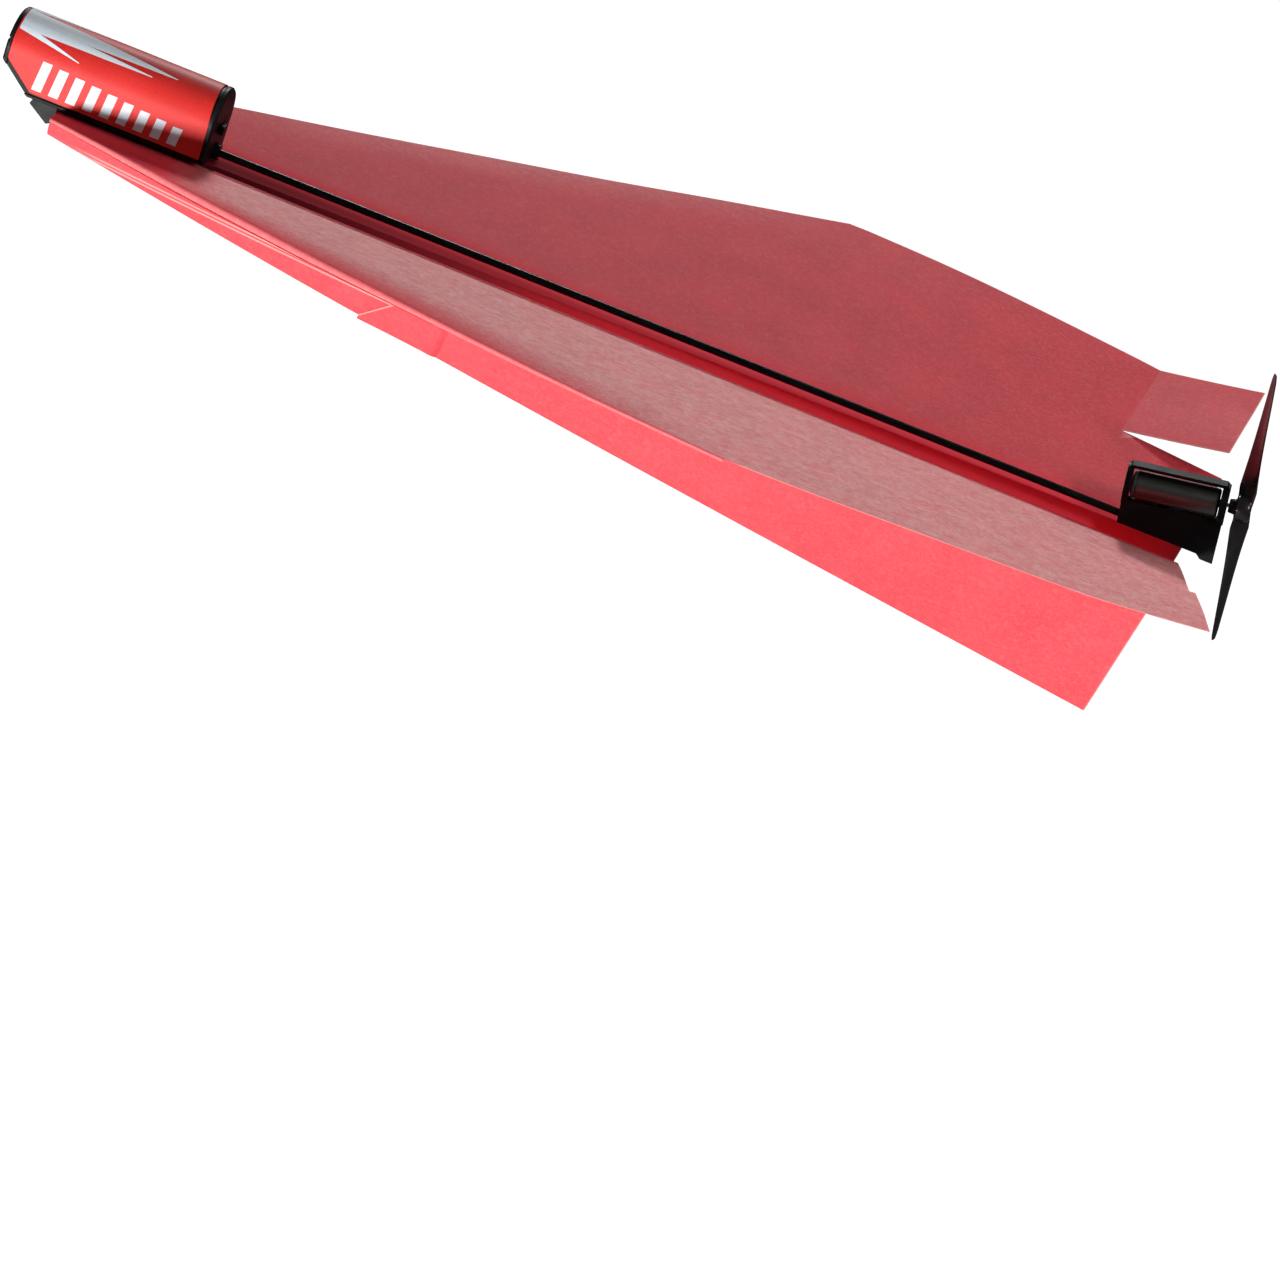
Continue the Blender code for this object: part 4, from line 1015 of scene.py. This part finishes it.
# ---------------------------------------------------------------- the CAD's own meshes
def soften(node, material, width):
    """Weld, round the edges of and smooth a CAD mesh, all by modifiers."""
    piece = frame["nodes"][node]
    piece.data.materials.clear()
    piece.data.materials.append(material)
    normals = piece.data.attributes.get("custom_normal")
    if normals:
        piece.data.attributes.remove(normals)
    piece.data.shade_smooth()
    weld = piece.modifiers.new("weld", "WELD")
    weld.merge_threshold = 0.002 * MM
    flat = piece.modifiers.new("flat", "DECIMATE")
    flat.decimate_type = "DISSOLVE"
    flat.angle_limit = math.radians(1.0)
    bevel = piece.modifiers.new("bevel", "BEVEL")
    bevel.width = width
    bevel.segments = 2
    bevel.limit_method = "ANGLE"
    bevel.angle_limit = math.radians(30.0)
    shade = piece.modifiers.new("shade", "WEIGHTED_NORMAL")
    shade.weight = 80


def dress_cad_nodes(black):
    """Each material, the rounding of its edges in millimetres, and the nodes that have it."""
    looks = [
        (black, 0.10, ["nose_shell", "nose_base", "nose_clip", "switch_slider", "motor_pod"]),
        (carbon_look(), 0.04, ["carbon_tube"]),
        (metal_look("can_steel", (0.15, 0.15, 0.14), 0.36), 0.06, ["motor_can"]),
        (metal_look("nickel", (0.62, 0.60, 0.56), 0.25), 0.03, ["motor_shaft", "motor_magnet"]),
        (metal_look("copper", (0.72, 0.30, 0.14), 0.30), 0.03,
         ["rotor_coil", "commutator", "brush_lower", "brush_upper"]),
        (metal_look("bronze", (0.55, 0.36, 0.15), 0.38), 0.03, ["front_bush", "rear_bush"]),
        (metal_look("tin", (0.70, 0.70, 0.70), 0.28), 0.03,
         ["capacitor_lead_negative", "capacitor_lead_positive"]),
        (metal_look("stamped", (0.52, 0.52, 0.53), 0.34, (12.0, 1.0, 12.0)), 0.06, ["switch_body"]),
        (plastic_look("resin", (0.02, 0.02, 0.022), 0.55, 0.3), 0.05,
         ["control_chip", "charging_socket"]),
        (plastic_look("sleeve", (0.018, 0.028, 0.06), 0.32), 0.08, ["supercapacitor"]),
        (plastic_look("cap", (0.05, 0.05, 0.05), 0.4), 0.05, ["motor_end_cap"]),
        (plastic_look("lens", (0.45, 0.02, 0.015), 0.12, 0.02, 0.5), 0.03, ["status_led"]),
        (board_look(), 0.05, ["circuit_board"]),
        (plastic_look("wire_red", (0.50, 0.02, 0.02), 0.45), 0.01, ["wire_positive"]),
        (plastic_look("wire_black", (0.02, 0.02, 0.02), 0.45), 0.01, ["wire_negative"]),
    ]
    for material, rounding, nodes in looks:
        for node in nodes:
            soften(node, material, rounding * MM)


# ---------------------------------------------------------------- the studio
def area_light(name, place, aim, size, power):
    light = bpy.data.lights.new(name, "AREA")
    light.shape = "SQUARE"
    light.size = size
    light.energy = power
    made = bpy.data.objects.new(name, light)
    bpy.context.scene.collection.objects.link(made)
    made.visible_camera = False
    made.location = place
    made.rotation_euler = (Vector(aim) - Vector(place)).to_track_quat("-Z", "Y").to_euler()


def build_studio():
    floor_mesh = bmesh.new()
    quarters = ((-1.0, -1.0), (1.0, -1.0), (1.0, 1.0), (-1.0, 1.0))
    floor_mesh.faces.new([floor_mesh.verts.new((x * FLOOR_REACH, y * FLOOR_REACH, FLOOR_DEPTH))
                          for x, y in quarters])
    floor = link_mesh("backdrop", floor_mesh, floor_look())

    world = bpy.data.worlds.new("studio")
    world.use_nodes = True
    world.node_tree.nodes["Background"].inputs["Color"].default_value = (1.0, 0.995, 0.985, 1.0)
    tree = world.node_tree
    strength = camera_only(tree.nodes, tree.links, 1.0, WORLD_LIGHT)
    tree.links.new(strength, tree.nodes["Background"].inputs["Strength"])
    bpy.context.scene.world = world

    area_light("back_softbox", (-0.35, 1.05, 0.75), (0.0, 0.0, 0.02), 0.24, 10.0)
    area_light("front_softbox", (-0.60, -1.25, -0.48), (0.0, 0.0, 0.02), 0.32, 40.0)
    area_light("top_softbox", (0.25, -0.28, 0.36), (0.02, 0.0, 0.02), 0.07, 0.55)
    area_light("tail_softbox", (0.20, 0.05, 0.24), (0.06, 0.0, 0.02), 0.10, 0.13)
    view = bpy.context.scene.view_settings
    view.view_transform = "Standard"
    view.look = "None"


def build_camera():
    lens = bpy.data.cameras.new("view_camera")
    lens.sensor_width = 36.0
    lens.lens = FOCAL_LENGTH
    lens.clip_start = 0.01
    camera = bpy.data.objects.new("view_camera", lens)
    bpy.context.scene.collection.objects.link(camera)
    turn = Matrix.Rotation(-CAMERA_HEADING, 4, "Z")
    turn = turn @ Matrix.Rotation(0.5 * math.pi - CAMERA_DROP, 4, "X")
    turn = turn @ Matrix.Rotation(CAMERA_ROLL, 4, "Z")
    camera.matrix_world = Matrix.Translation(CAMERA_PLACE) @ turn
    bpy.context.scene.camera = camera


def main():
    wing_paper = paper_look("wing_paper", WING_RED, WING_VALLEY_SHADE_RED, WING_GLOW)
    # The keel's paper is a lighter, painted-light copy of the wing's.
    keel_lit_paper = paper_look("keel_lit_paper", KEEL_LIT_RED, KEEL_VALLEY_SHADE_RED, KEEL_GLOW)
    for side in SIDES:
        build_wing(side, wing_paper)
        build_wing_layer(side, wing_paper)
        build_keel(side, keel_lit_paper)
        build_keel_layers(side, keel_lit_paper)
        build_tongue(side, keel_lit_paper)
        build_elevon(side, wing_paper)
    build_label(label_look())
    build_label_print(silver_ink(), white_ink())
    build_propeller(propeller_plastic())
    dress_cad_nodes(black_plastic())
    build_studio()
    build_camera()


main()
